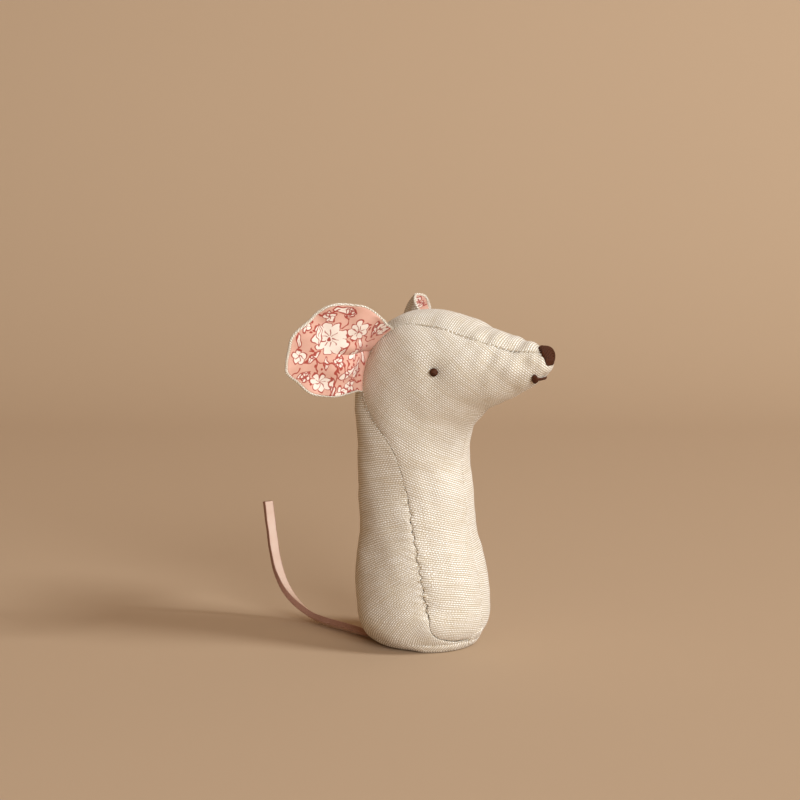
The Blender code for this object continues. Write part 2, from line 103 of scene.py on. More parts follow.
def gridQuads(rows, columns, closed=False):
    # quads whose normals point along (next column) x (next row)
    row = np.arange(rows - 1)[:, None]
    column = np.arange(columns if closed else columns - 1)[None, :]
    following = (column + 1) % columns
    corners = [row * columns + column, row * columns + following,
               (row + 1) * columns + following, (row + 1) * columns + column]
    return np.stack([np.broadcast_to(c, (rows - 1, column.size)) for c in corners], -1).reshape(-1, 4)


def fanQuads(spokes, count):
    # a grid of spokes whose last one joins the first
    last, n = (spokes - 1) * count, np.arange(count - 1)
    return np.concatenate([gridQuads(spokes, count), np.stack([last + n, last + n + 1, n + 1, n], -1)])


def meshPiece(name, points, quads, uv=None, marks=None, finish=None):
    # mesh object at the origin from arrays; uv in millimetres per vertex, marks are float attributes
    mesh = bpy.data.meshes.new(name)
    mesh.from_pydata(points.reshape(-1, 3).tolist(), [], quads.tolist())
    if uv is not None:
        layer = mesh.uv_layers.new(name="UVMap")
        corners = np.empty(len(mesh.loops), np.int32)
        mesh.loops.foreach_get("vertex_index", corners)
        layer.data.foreach_set("uv", uv.reshape(-1, 2)[corners].astype(np.float32).ravel())
    for label, values in (marks or {}).items():
        attribute = mesh.attributes.new(label, "FLOAT", "POINT")
        attribute.data.foreach_set("value", np.asarray(values, np.float32).ravel())
    shaper = bmesh.new()
    shaper.from_mesh(mesh)
    bmesh.ops.remove_doubles(shaper, verts=shaper.verts, dist=0.0005 * mm)
    shaper.to_mesh(mesh)
    shaper.free()
    mesh.shade_smooth()
    if finish:
        mesh.materials.append(finish)
    piece = bpy.data.objects.new(name, mesh)
    bpy.context.scene.collection.objects.link(piece)
    return piece


def thicken(piece, thickness):
    wall = piece.modifiers.new("cloth thickness", "SOLIDIFY")
    wall.thickness = thickness
    wall.offset = -1.0
    wall.use_even_offset = False


def mirrored(points):
    return points * np.array([1.0, -1.0, 1.0])


# materials

def linear(hexColour):
    values = [int(hexColour[i:i + 2], 16) / 255 for i in (1, 3, 5)]
    return tuple(v / 12.92 if v <= 0.04045 else ((v + 0.055) / 1.055) ** 2.4 for v in values) + (1.0,)


def newMaterial(name, roughness, sheen=0.0):
    made = bpy.data.materials.new(name)
    made.use_nodes = True
    shader = made.node_tree.nodes["Principled BSDF"]
    shader.inputs["Roughness"].default_value = roughness
    if sheen:
        shader.inputs["Sheen Weight"].default_value = sheen
        shader.inputs["Sheen Roughness"].default_value = 0.6
    return made, made.node_tree, shader


def addNode(tree, kind, inputs=(), output=0, **settings):
    # one node with its settings; its inputs, in order or by name, are other nodes' sockets or plain values
    node = tree.nodes.new("ShaderNode" + kind)
    for key, value in settings.items():
        setattr(node, key, value)
    for key, value in inputs.items() if isinstance(inputs, dict) else enumerate(inputs):
        if isinstance(value, bpy.types.NodeSocket):
            tree.links.new(value, node.inputs[key])
        else:
            node.inputs[key].default_value = value
    return node.outputs[output]


def finishSurface(tree, shader, colour, relief, strength, depth):
    # the material's colour, and its relief as bumps of the given depth
    bump = addNode(tree, "Bump", {"Height": relief, "Strength": strength, "Distance": depth})
    tree.links.new(colour, shader.inputs["Base Color"])
    tree.links.new(bump, shader.inputs["Normal"])


# Washed linen, plain weave of flax: matt, slightly hairy, threads of uneven thickness, with painted shade in
# the pits between them.
# Thread spacings and pattern sizes are in millimetres: about 19 threads a centimetre one way, 14 the other.
linen = {"warp": 0.52, "weft": 0.71, "thread": "#fffef7", "shade": "#e6decb", "pitShade": "#a69372", "rough": 0.92,
         "wobble": 0.34, "driftSize": 10.0, "cloudSize": 9.09, "fuzzSize": 0.1667, "slubLength": 20.0,
         "bump": 0.12 * mm}


def linenMaterial(name, turn):
    # two sets of round threads on the UV grid, in millimetres, each over and under the other in turn
    made, tree, shader = newMaterial(name, linen["rough"], sheen=0.2)
    uv = addNode(tree, "UVMap", uv_map="UVMap")
    turned = addNode(tree, "Mapping", {"Vector": uv, "Rotation": (0, 0, math.radians(turn))})
    drift = addNode(tree, "TexNoise", {"Vector": turned, "Scale": 1 / linen["driftSize"], "Detail": 2.0}, 1)
    centred = addNode(tree, "VectorMath", (drift, (0.5, 0.5, 0.5)), operation="SUBTRACT")
    pushed = addNode(tree, "VectorMath", {0: centred, "Scale": linen["wobble"] * 3.0}, operation="SCALE")
    place = addNode(tree, "VectorMath", (turned, pushed), operation="ADD")
    axes = addNode(tree, "SeparateXYZ", [place]).node.outputs
    u = addNode(tree, "Math", (axes[0], linen["warp"]), operation="DIVIDE")
    v = addNode(tree, "Math", (axes[1], linen["weft"]), operation="DIVIDE")
    heights = []
    tones = []
    # the warp is less proud, so the painted pit shade also darkens its floats
    for across, along, shift, proud in ((u, v, 0.0, 0.7), (v, u, 1.0, 1.0)):
        number = addNode(tree, "Math", [across], operation="FLOOR")
        wave = addNode(tree, "Math", (across, math.pi), operation="MULTIPLY")
        wave = addNode(tree, "Math", [wave], operation="SINE")
        bulge = addNode(tree, "Math", [wave], operation="ABSOLUTE")
        phase = addNode(tree, "Math", (along, number), operation="ADD")
        phase = addNode(tree, "Math", (phase, shift), operation="ADD")
        phase = addNode(tree, "Math", (phase, math.pi), operation="MULTIPLY")
        overUnder = addNode(tree, "Math", [phase], operation="SINE")
        rise = addNode(tree, "Math", (overUnder, 0.42, 0.58), operation="MULTIPLY_ADD")
        rounded = addNode(tree, "Math", (bulge, 0.7), operation="POWER")
        rounded = addNode(tree, "Math", (rounded, proud), operation="MULTIPLY")
        heights.append(addNode(tree, "Math", (rounded, rise), operation="MULTIPLY"))
        # each thread has its own tone, and slubs change it slowly along the thread
        slow = addNode(tree, "Math", (along, 1 / linen["slubLength"]), operation="MULTIPLY")
        ownTone = addNode(tree, "Math", (number, 7.31), operation="MULTIPLY")
        spot = addNode(tree, "CombineXYZ", (slow, ownTone, shift * 40))
        tones.append(addNode(tree, "TexNoise", {"Vector": spot, "Scale": 1.0, "Detail": 1.0}))
    height = addNode(tree, "Math", heights, operation="MAXIMUM")
    warpOnTop = addNode(tree, "Math", heights, operation="GREATER_THAN")
    tone = addNode(tree, "Mix", {0: warpOnTop, 2: tones[1], 3: tones[0]}, data_type="FLOAT")
    toneRange = addNode(tree, "MapRange", (tone, 0.38, 0.68, 0.0, 1.0))
    cloudy = addNode(tree, "TexNoise", {"Vector": turned, "Scale": 1 / linen["cloudSize"], "Detail": 3.0})
    patchy = addNode(tree, "MapRange", (cloudy, 0.35, 0.7, 0.0, 0.25))
    threadTone = addNode(tree, "Math", (toneRange, 0.75, patchy), operation="MULTIPLY_ADD")
    thread = addNode(tree, "Mix", {0: threadTone, 6: linear(linen["thread"]), 7: linear(linen["shade"])}, 2,
                     data_type="RGBA")
    # painted shade: where the threads sink, in the pits and on the lower warp, the colour turns to the darker
    # pit colour
    raised = addNode(tree, "MapRange", (height, 0.25, 0.8, 0.0, 1.0), interpolation_type="SMOOTHSTEP")
    colour = addNode(tree, "Mix", {0: raised, 6: linear(linen["pitShade"]), 7: thread}, 2, data_type="RGBA")
    fuzz = addNode(tree, "TexNoise", {"Vector": place, "Scale": 1 / linen["fuzzSize"], "Detail": 3.0})
    relief = addNode(tree, "Math", (fuzz, 0.25, height), operation="MULTIPLY_ADD")
    finishSurface(tree, shader, colour, relief, 0.85, linen["bump"])
    return made


# the outline that the skin, ears and face share

skin = {
    # from the hips to the tip of the snout: back or crown x, z; front or chin x, z; half width
    "outline": mm * np.array([
        (-23.0, 13.0, 23.0, 13.0, 22.8), (-23.5, 25.0, 21.7, 25.0, 22.3), (-22.5, 40.0, 17.9, 40.0, 20.2),
        (-23.2, 57.0, 15.8, 56.0, 18.8), (-23.9, 74.0, 15.8, 68.5, 19.1), (-23.6, 89.0, 17.6, 75.8, 20.0),
        (-18.9, 103.0, 20.8, 79.8, 20.6), (-7.5, 113.6, 24.2, 82.2, 19.4), (8.0, 115.2, 29.2, 84.6, 16.8),
        (24.8, 110.6, 35.0, 88.0, 12.8), (37.8, 106.6, 41.0, 91.4, 8.8), (44.4, 104.8, 44.8, 94.2, 6.0),
        (47.2, 104.0, 47.5, 97.0, 3.9), (48.8, 100.6, 48.8, 100.6, 0.0)]),
    "cornerHeight": 13.0 * mm, "cornerWidth": 9.5 * mm,
    "seamStations": (0.5, 1.5, 3.0, 4.0, 5.0, 6.0, 7.0, 8.0, 9.0, 10.0, 11.0, 12.0, 13.0),
    "seamAngles": (127.0, 122.0, 116.0, 110.0, 95.0, 57.0, 42.0, 39.0, 43.0, 50.0, 49.0, 40.0, 33.0),
    "lip": 0.456, "lipCorner": 0.93, "lipRound": 2.6,
    "closingLow": 1.0, "closingHigh": 3.9, "closingSway": 0.4 * mm, "closingPitch": 4.3 * mm,
}
tipStation = float(len(skin["outline"]))


def skinPoint(station, angle):
    # Ellipse through the back and front points, as wide as the half width; the angle is 0 on the back and
    # crown, 90 on the right side, 180 in front. Below station 1 a quarter ellipse turns in to the flat base.
    station, angle = np.broadcast_arrays(np.asarray(station, float), np.asarray(angle, float))
    row = smoothCurve(np.arange(1, len(skin["outline"]) + 1), skin["outline"], np.maximum(station, 1.0))
    turn = np.clip(station, 0, 1) * math.pi / 2
    inset = skin["cornerWidth"] * (1 - np.sin(turn))
    backX, backZ, frontX, frontZ, halfWidth = np.moveaxis(row, -1, 0)
    backX, frontX = backX + inset, frontX - inset
    cosine, sine = np.cos(np.radians(angle)), np.sin(np.radians(angle))
    x = (backX + frontX) / 2 + (backX - frontX) / 2 * cosine
    z = (backZ + frontZ) / 2 + (backZ - frontZ) / 2 * cosine - skin["cornerHeight"] * np.cos(turn)
    return np.stack([x, -(halfWidth - inset) * sine, z], -1)


def skinNormal(station, angle):
    step = 0.01
    station, angle = np.asarray(station, float), np.asarray(angle, float)
    higher, lower = np.minimum(station + step, tipStation), np.maximum(station - step, 0)
    along = skinPoint(higher, angle) - skinPoint(lower, angle)
    around = skinPoint(station, angle + step) - skinPoint(station, angle - step)
    return unit(np.cross(around, along))


def seamAngle(station, side="left"):
    # angle of the seam between gusset and side panel; where the right one was closed by hand, it sways
    station = np.asarray(station, float)
    angle = smoothCurve(skin["seamStations"], skin["seamAngles"], np.clip(station, 0.5, 13.0))
    if side == "right":
        z = skinPoint(station, angle)[..., 2]
        inside = ease(station, skin["closingLow"], skin["closingLow"] + 0.3)
        inside = inside * (1 - ease(station, skin["closingHigh"] - 0.3, skin["closingHigh"]))
        turns = z / skin["closingPitch"] * 2 * math.pi
        sway = np.sin(turns + 1.3 * np.sin(turns * 0.31)) + 0.5 * np.sin(turns * 2.73 + 1.0)
        angle = angle + np.degrees(skin["closingSway"] * sway * inside / (21 * mm))
    return angle


def lipStation(turn):
    # the lip seam is a superellipse: turn 0 is the middle of the front, turn 1 the start of the side seam
    fall = np.clip(np.cos(np.asarray(turn) * math.pi / 2), 0, 1) ** (2 / skin["lipRound"])
    return skin["lipCorner"] - (skin["lipCorner"] - skin["lip"]) * fall


def lipFraction(turn):
    return np.clip(np.sin(np.asarray(turn) * math.pi / 2), 0, 1) ** (2 / skin["lipRound"])


def noseStation(angle):
    # edge of the embroidered nose: lower on the crown, close to the tip elsewhere
    cosine = np.cos(np.radians(angle))
    return 13.2 - 1.25 * np.maximum(cosine, 0) ** 2 + 0.45 * np.maximum(-cosine, 0) ** 2


# sewn linen: seams, puckers and lumps

sewing = {
    "thickness": 0.3 * mm, "machineRoll": 0.36 * mm, "handRoll": 0.5 * mm, "lipRoll": 0.5 * mm,
    "pullDepth": 0.26 * mm, "pullReach": 1.6 * mm, "puckerDepth": 0.09 * mm, "puckerPitch": 2.4 * mm,
    "puckerReach": 2.4 * mm, "lumpDepth": 0.26 * mm, "lumpSize": 15 * mm, "eyeDimple": 1.7 * mm,
    "stitchPitch": 1.4 * mm, "dentDepth": 0.3 * mm, "dentReach": 0.6 * mm, "lipPull": 0.6 * mm,
    "lipRollOut": 0.95 * mm, "lipHeight": 6.5 * mm,
}
eye = {"station": 8.37, "angle": 99.6, "radius": 0.92 * mm, "strand": 0.47 * mm}


def rolled(distance, radius):
    # the edge of a panel turns down into its seam on a quarter circle
    rest = 1 - np.clip(distance / radius, 0, 1)
    return -radius * (1 - np.sqrt(np.maximum(1 - rest**2, 0)))


def puckers(distance, along, seed, depth):
    # gathers at right angles to a seam: noise along the seam, dying away from it
    wave = softNoise(along[..., None], sewing["puckerPitch"], seed, 7)
    return depth * wave * np.exp(-distance / sewing["puckerReach"])


def handSewn(station, side):
    if side != "right":
        return np.zeros_like(station)
    inside = ease(station, skin["closingLow"] - 0.2, skin["closingLow"] + 0.1)
    return inside * (1 - ease(station, skin["closingHigh"] - 0.2, skin["closingHigh"] + 0.2))


def sewnEdge(distance, along, station, side, seed):
    # groove, pull and puckers beside one seam; deeper and wavier where it was closed by hand
    hand = handSewn(station, side)
    radius = sewing["machineRoll"] * (1 - hand) + sewing["handRoll"] * hand
    radius = radius * (1 + 0.15 * hand * softNoise(along[..., None], 4.0 * mm, seed + 5, 5))
    # the hand seam gapes a little near its lower end; machine stitches dent the seam one by one
    gape = hand * np.exp(-((station - 1.2) / 0.34) ** 2) * (side == "right")
    radius = radius * (1 + 0.8 * gape)
    dents = sewing["dentDepth"] * (1 - hand) * np.sin(along / sewing["stitchPitch"] * 2 * math.pi)
    dents = dents * np.exp(-distance / sewing["dentReach"])
    pull = -sewing["pullDepth"] * (1 + 0.8 * hand + 2.0 * gape) * np.exp(-distance / sewing["pullReach"])
    pull = pull + dents
    gathers = puckers(distance, along, seed, sewing["puckerDepth"] * (1 + 1.1 * hand))
    return rolled(distance, radius), pull + gathers


def lumps(points):
    # uneven filling under the cloth
    return (sewing["lumpDepth"] * softNoise(points, sewing["lumpSize"], 11)
            + 0.3 * sewing["lumpDepth"] * softNoise(points, sewing["lumpSize"] * 0.4, 12))


def snoutCreases(points, station):
    # cross folds in the crown behind the nose, and shallow level folds round the body and neck
    snout = ease(station, 9.0, 10.2) * (1 - ease(station, 11.7, 12.4))
    body = ease(station, 1.0, 2.2) * (1 - ease(station, 5.0, 6.2))
    return (0.3 * mm * snout * softNoise(points * np.array([1.0, 0.3, 0.7]), 4.6 * mm, 21)
            + 0.1 * mm * body * softNoise(points * np.array([0.22, 0.22, 1.0]), 5.5 * mm, 22))


def faceDimples(points):
    dent = np.zeros(points.shape[:-1])
    for sign in (1.0, -1.0):
        centre = skinPoint(eye["station"], eye["angle"] * sign)
        away = np.linalg.norm(points - centre, axis=-1)
        dent -= sewing["eyeDimple"] * np.exp(-(away / (2.4 * mm)) ** 1.3)
    return dent


def settleOnFloor(points):
    points = points.copy()
    points[..., 2] = np.maximum(points[..., 2], 0.0)
    return points


# how the filling swells the cloth between its seams

swelling = {"gussetColumns": 12, "panelColumns": 20, "rows": 96, "scale": 10.0, "pressure": 3.0,
            "spare": -0.035, "frames": 20, "most": 0.36 * mm, "least": -0.3 * mm}


def swellColumn(station, angle):
    # place across the closed net: 0 at the front seam, then the left panel, gusset and right panel
    edge = seamAngle(np.maximum(station, skin["lipCorner"]))
    away = np.abs(angle)
    inGusset = away / edge * swelling["gussetColumns"]
    inPanel = swelling["gussetColumns"] + (away - edge) / (180 - edge) * swelling["panelColumns"]
    half = swelling["gussetColumns"] + swelling["panelColumns"]
    return half + np.sign(angle) * np.where(away <= edge, inGusset, inPanel)


def simulateSwell():
    # Cloth held along its seams, cut a little large and pressed outwards. It is simulated at ten times its
    # size, where the solver is steady, and gives how far the cloth stands off the sewn outline.
    half = swelling["gussetColumns"] + swelling["panelColumns"]
    station = 0.35 + (13.3 - 0.35) * crowded(swelling["rows"], 0.2)[:, None]
    column = np.arange(2 * half)[None, :]
    away = np.abs(column - half)
    edge = seamAngle(np.maximum(station, skin["lipCorner"]))
    inPanel = edge + (away - swelling["gussetColumns"]) / swelling["panelColumns"] * (180 - edge)
    angle = np.sign(column - half) * np.where(away <= swelling["gussetColumns"],
                                              away / swelling["gussetColumns"] * edge, inPanel)
    field = np.zeros(angle.shape)
    base, normals = skinPoint(station, angle), skinNormal(station, angle)
    mesh = bpy.data.meshes.new("swell net")
    mesh.from_pydata((base * swelling["scale"]).reshape(-1, 3).tolist(), [],
                     gridQuads(*angle.shape, closed=True).tolist())
    net = bpy.data.objects.new("swell net", mesh)
    bpy.context.scene.collection.objects.link(net)
    row = np.arange(len(station))[:, None]
    held = np.isin(away, (swelling["gussetColumns"], half)) | (row < 3) | (row > len(station) - 4)
    group = net.vertex_groups.new(name="held")
    group.add(np.flatnonzero(held).tolist(), 1.0, "ADD")
    cloth = net.modifiers.new("Cloth", "CLOTH")
    cloth.settings.vertex_group_mass = "held"
    cloth.settings.use_pressure = True
    cloth.settings.uniform_pressure_force = swelling["pressure"]
    cloth.settings.shrink_min = swelling["spare"]
    cloth.settings.effector_weights.gravity = 0
    cloth.settings.bending_stiffness = 0.6
    cloth.settings.quality = 6
    cloth.point_cache.frame_end = swelling["frames"]
    scene = bpy.context.scene
    for frameNumber in range(1, swelling["frames"] + 1):
        scene.frame_set(frameNumber)
    evaluated = net.evaluated_get(bpy.context.evaluated_depsgraph_get())
    moved = np.empty(len(mesh.vertices) * 3, np.float32)
    evaluated.data.vertices.foreach_get("co", moved)
    moved = moved.reshape(base.shape) / swelling["scale"]
    field = ((moved - base) * normals).sum(-1)
    scene.frame_set(1)
    bpy.data.objects.remove(net)
    print("swell simulated, from %.2f to %.2f mm" % (field.min() / mm, field.max() / mm))
    field = np.clip(field, swelling["least"], swelling["most"])
    for _ in range(3):
        field = field / 2 + (np.roll(field, 1, axis=1) + np.roll(field, -1, axis=1)) / 4
        field[1:-1] = field[1:-1] / 2 + (field[:-2] + field[2:]) / 4
    return station[:, 0], field


swellRows, swellField = simulateSwell()


def swell(station, angle):
    # the simulated net read between its points
    columns = swellField.shape[1]
    row = np.clip(np.interp(station, swellRows, np.arange(len(swellRows))), 0, len(swellRows) - 1.001)
    column = np.mod(swellColumn(station, angle), columns)
    r, c = np.floor(row).astype(int), np.floor(column).astype(int)
    u, v = row - r, column - c
    following = (c + 1) % columns
    c = c % columns
    inside = ease(station, 0.3, 0.6)
    return inside * ((swellField[r, c] * (1 - u) + swellField[r + 1, c] * u) * (1 - v)
                     + (swellField[r, following] * (1 - u) + swellField[r + 1, following] * u) * v)


def flattenCloth(points):
    # the flat cut, in millimetres, of a curved grid: unwraps a coarse copy, then reads between its points
    rows = np.unique(np.linspace(0, points.shape[0] - 1, 44).astype(int))
    columns = np.unique(np.linspace(0, points.shape[1] - 1, 22).astype(int))
    coarse = points[rows][:, columns]
    count = coarse.shape[:2]
    flat, index = np.unique(np.round(coarse.reshape(-1, 3) / (0.002 * mm)), axis=0, return_inverse=True)
    index = index.reshape(-1)
    mesh = bpy.data.meshes.new("cut")
    faces = [tuple(dict.fromkeys(index[quad].tolist())) for quad in gridQuads(*count)]
    faces = [face for face in faces if len(face) > 2]
    mesh.from_pydata((flat * 0.002 * mm).tolist(), [], faces)
    cut = bpy.data.objects.new("cut", mesh)
    bpy.context.scene.collection.objects.link(cut)
    bpy.context.view_layer.objects.active = cut
    cut.select_set(True)
    bpy.ops.object.mode_set(mode="EDIT")
    bpy.ops.mesh.select_all(action="SELECT")
    bpy.ops.uv.unwrap(method="MINIMUM_STRETCH", iterations=40, margin=0.0)
    bpy.ops.object.mode_set(mode="OBJECT")
    corners = np.empty(len(mesh.loops), np.int32)
    mesh.loops.foreach_get("vertex_index", corners)
    uvs = np.empty(len(mesh.loops) * 2, np.float32)
    mesh.uv_layers.active.data.foreach_get("uv", uvs)
    perVertex = np.zeros((len(flat), 2))
    perVertex[corners] = uvs.reshape(-1, 2)
    bpy.data.objects.remove(cut)
    bpy.data.meshes.remove(mesh)
    uv = perVertex[index].reshape(count + (2,))
    real = np.linalg.norm(np.diff(coarse, axis=0), axis=-1).sum()
    drawn = np.linalg.norm(np.diff(uv, axis=0), axis=-1).sum()
    uv *= real / drawn / mm
    # stand the cut upright: its rows run up the piece
    middle = uv[:, count[1] // 2]
    climb = middle[count[0] * 2 // 3] - middle[count[0] // 4]
    tilt = math.pi / 2 - math.atan2(climb[1], climb[0])
    uv = uv @ np.array([[math.cos(tilt), math.sin(tilt)], [-math.sin(tilt), math.cos(tilt)]])
    uv -= uv.reshape(-1, 2).min(0)
    fine = np.stack([np.stack([np.interp(np.arange(points.shape[1]), columns, line) for line in uv[..., k]])
                     for k in range(2)], -1)
    return np.stack([np.stack([np.interp(np.arange(points.shape[0]), rows, fine[:, c, k])
                               for c in range(points.shape[1])], 1) for k in range(2)], -1)


def sewnPanel(name, node, base, normals, relief, finish):
    # one panel of the skin: its relief is added along the normals, and its flat cut gives the grain
    uv = flattenCloth(base)
    points = settleOnFloor(base + normals * relief[..., None])
    panel = meshPiece(name, points, gridQuads(*base.shape[:2]), uv=uv, finish=finish)
    thicken(panel, sewing["thickness"])
    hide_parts(node)
    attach(panel, "body")


def sidePanel(side, finish):
    turn = 1 - crowded(96)
    rise = crowded(250, 0.7)[:, None]
    low = lipStation(turn)
    high = tipStation - 0.07
    station = low + (high - low) * rise
    share = lipFraction(turn) * (1 - ease(rise, 0, 0.09)) + turn * ease(rise, 0, 0.09)
    edge = seamAngle(np.maximum(station, skin["lipCorner"]), side)
    angle = 180 - share * (180 - edge)
    base, normals = skinPoint(station, angle), skinNormal(station, angle)
    across, up = walked(base, 1), walked(base, 0)
    fromSeam, fromFront = across, across[:, -1:] - across
    fromLip = up
    seamRoll, seamPull = sewnEdge(fromSeam, up, station, side, 31 if side == "right" else 32)
    frontRoll, frontPull = sewnEdge(fromFront * 1.8, up, station, "front", 33)
    lipRoll = rolled(fromLip, sewing["lipRoll"])
    lipPull = -sewing["lipPull"] * np.exp(-fromLip / (2.2 * mm))
    relief = np.minimum(np.minimum(seamRoll, frontRoll * 0.5), lipRoll)
    relief = relief + seamPull + 0.25 * frontPull + lipPull
    fade = 1 - ease(station, 12.4, 13.2)
    relief = relief + (lumps(base) + snoutCreases(base, station)) * fade + faceDimples(base)
    relief = relief + swell(station, -angle if side == "left" else angle)
    if side == "left":
        base, normals = mirrored(base)[:, ::-1], mirrored(normals)[:, ::-1]
        relief = relief[:, ::-1]
    sewnPanel(side + "SidePanel", side + "_side_panel", base, normals, relief, finish)


def backGusset(finish):
    across = crowded(113, 0.78) * 2 - 1
    disc = np.linspace(0, 1, 12)[:-1]
    ring = np.linspace(0, skin["lip"], 24)
    turn = np.linspace(0, 1, 28)[1:]
    lipRows = lipStation(turn)
    upper = skin["lipCorner"] + (tipStation - 0.07 - skin["lipCorner"]) * crowded(330, 0.25)[1:]
    station = np.concatenate([np.zeros(len(disc)), ring, lipRows, upper])
    lipEdge = 180 - lipFraction(turn) * (180 - seamAngle(skin["lipCorner"]))
    edges = []
    for side in ("left", "right"):
        closed = np.full(len(disc) + len(ring), 180.0)
        edges.append(np.concatenate([closed, lipEdge, seamAngle(upper, side)])[:, None])
    station = np.repeat(station[:, None], len(across), axis=1)
    angle = np.where(across < 0, edges[0], edges[1]) * across
    base, normals = skinPoint(station, angle), skinNormal(station, angle)
    centre = base[0].mean(0)
    base[:len(disc)] = centre + (base[:len(disc)] - centre) * disc[:, None, None]
    normals[:len(disc)] = (0, 0, -1)
    walk, up = walked(base, 1), walked(base, 0)
    opened = ease(station, skin["lip"] - 0.01, skin["lip"] + 0.06)
    fromLeft, fromRight = walk, walk[:, -1:] - walk
    leftRoll, leftPull = sewnEdge(fromLeft, up, station, "left", 32)
    rightRoll, rightPull = sewnEdge(fromRight, up, station, "right", 31)
    relief = (np.minimum(leftRoll, rightRoll) + leftPull + rightPull) * opened
    # the lip: its top edge rolls in to the seam below the chest, and the cloth below it stands out in a roll
    front = ease(np.abs(angle), 100, 126) * (station <= skin["lip"])
    belowLip = np.maximum(skin["lip"] - station, 0) * 17 * mm
    height = np.clip(1 - belowLip / sewing["lipHeight"], 0, 1)
    standsOut = sewing["lipRollOut"] * np.sin(math.pi * height) ** 0.7
    relief = relief + (rolled(belowLip, sewing["lipRoll"]) + standsOut) * front
    raised = ease(base[..., 2], 0.5 * mm, 3 * mm)
    relief = relief + (lumps(base) + snoutCreases(base, station)) * raised * (1 - ease(station, 12.4, 13.2))
    relief = relief + swell(station, angle) * raised
    relief = np.where(station <= 0, 0, relief)
    sewnPanel("backGusset", "back_gusset", base, normals, relief, finish)


sideLinen = linenMaterial("washed linen plain weave, side panels", 9)
gussetLinen = linenMaterial("washed linen plain weave, gusset", -7)
sidePanel("right", sideLinen)
sidePanel("left", sideLinen)
backGusset(gussetLinen)
print("skin sewn")


# sewing thread, floss and knots: round strands along paths

def tubes(name, paths, radius, finish, sides=7):
    # each path is a row of points; the strand's radius tapers to round ends
    allPoints, allQuads, allUv, start = [], [], [], 0
    turn = np.linspace(0, 2 * math.pi, sides, endpoint=False)
    for path in paths:
        path = np.asarray(path, float)
        tangent = unit(np.gradient(path, axis=0))
        guide = np.array([0.3, 0.2, 1.0]) if abs(tangent[0][2]) < 0.8 else np.array([1.0, 0.3, 0.1])
        side = unit(np.cross(tangent, guide))
        other = np.cross(tangent, side)
        walk = walked(path[:, None], 0)[:, 0]
        ends = np.minimum(walk, walk[-1] - walk) / radius
        width = radius * np.sqrt(np.clip(1 - (1 - np.clip(ends, 0, 1)) ** 2, 0.02, 1))
        ring = path[:, None] + width[:, None, None] * (np.cos(turn)[:, None] * side[:, None]
                                                       + np.sin(turn)[:, None] * other[:, None])
        allPoints.append(ring.reshape(-1, 3))
        allQuads.append(gridQuads(len(path), sides, closed=True) + start)
        uv = np.broadcast_arrays(turn[None] / (2 * math.pi), walk[:, None] / mm)
        allUv.append(np.stack(uv, -1).reshape(-1, 2))
        start += path.shape[0] * sides
    return meshPiece(name, np.concatenate(allPoints), np.concatenate(allQuads), np.concatenate(allUv),
                     finish=finish)


def capsule(start, end, bow, lift, count=9):
    # a short stitch from start to end that bows outwards along lift
    t = np.concatenate([[0, 0.02, 0.06], np.linspace(0.14, 0.86, count - 6), [0.94, 0.98, 1]])[:, None]
    return start + (end - start) * t + lift * (bow * 4 * t * (1 - t))


# Cotton sewing thread, two plies twisted: fine slanting ridges, a dull shine.
# Stranded cotton floss: loosely twisted, smoother, a soft shine along the strand.
def threadMaterial(name, hexLight, hexDark, pitch, roughness, sheen=0.15):
    # pitch is the length of one turn of the twist, in millimetres, drawn coarse enough to show
    made, tree, shader = newMaterial(name, roughness, sheen)
    shader.inputs["Specular IOR Level"].default_value = 0.25
    uv = addNode(tree, "UVMap", uv_map="UVMap")
    axes = addNode(tree, "SeparateXYZ", [uv]).node.outputs
    aroundTwice = addNode(tree, "Math", (axes[0], 2.0), operation="MULTIPLY")
    slant = addNode(tree, "Math", (axes[1], 1.0 / pitch, aroundTwice), operation="MULTIPLY_ADD")
    slant = addNode(tree, "Math", (slant, math.pi), operation="MULTIPLY")
    slant = addNode(tree, "Math", [slant], operation="SINE")
    ridge = addNode(tree, "Math", [slant], operation="ABSOLUTE")
    place = addNode(tree, "TexCoord", output="Object")
    patch = addNode(tree, "TexNoise", {"Vector": place, "Scale": 1 / (1.111 * mm), "Detail": 3.0})
    patch = addNode(tree, "Math", (patch, 0.6, -0.15), operation="MULTIPLY_ADD")
    # painted shade: the colour darkens in the grooves between the twist's ridges and is lighter on their
    # crests
    tone = addNode(tree, "Math", (ridge, 0.65, patch), operation="MULTIPLY_ADD")
    colour = addNode(tree, "Mix", {0: tone, 6: linear(hexDark), 7: linear(hexLight)}, 2, data_type="RGBA")
    finishSurface(tree, shader, colour, ridge, 0.7, 0.05 * mm)
    return made


sewingThread = threadMaterial("cotton sewing thread, undyed", "#dccbb0", "#8f7a5c", 0.35, 0.8)
brownFloss = threadMaterial("stranded cotton floss, dark brown", "#562a0f", "#251004", 0.9, 0.7, 0.0)


def seamFrames(stations, angles):
    # points on the skin at even steps along a seam, with directions along, across and outwards
    fine = skinPoint(stations, angles)
    walk = walked(fine[:, None], 0)[:, 0]

    def onSeam(distance):
        return np.interp(distance, walk, stations), np.interp(distance, walk, angles)

    def at(distance):
        centre, outward = skinPoint(*onSeam(distance)), skinNormal(*onSeam(distance))
        along = unit(skinPoint(*onSeam(distance + 0.2 * mm)) - skinPoint(*onSeam(distance - 0.2 * mm)))
        return centre, along, np.cross(outward, along), outward
    return walk[-1], at


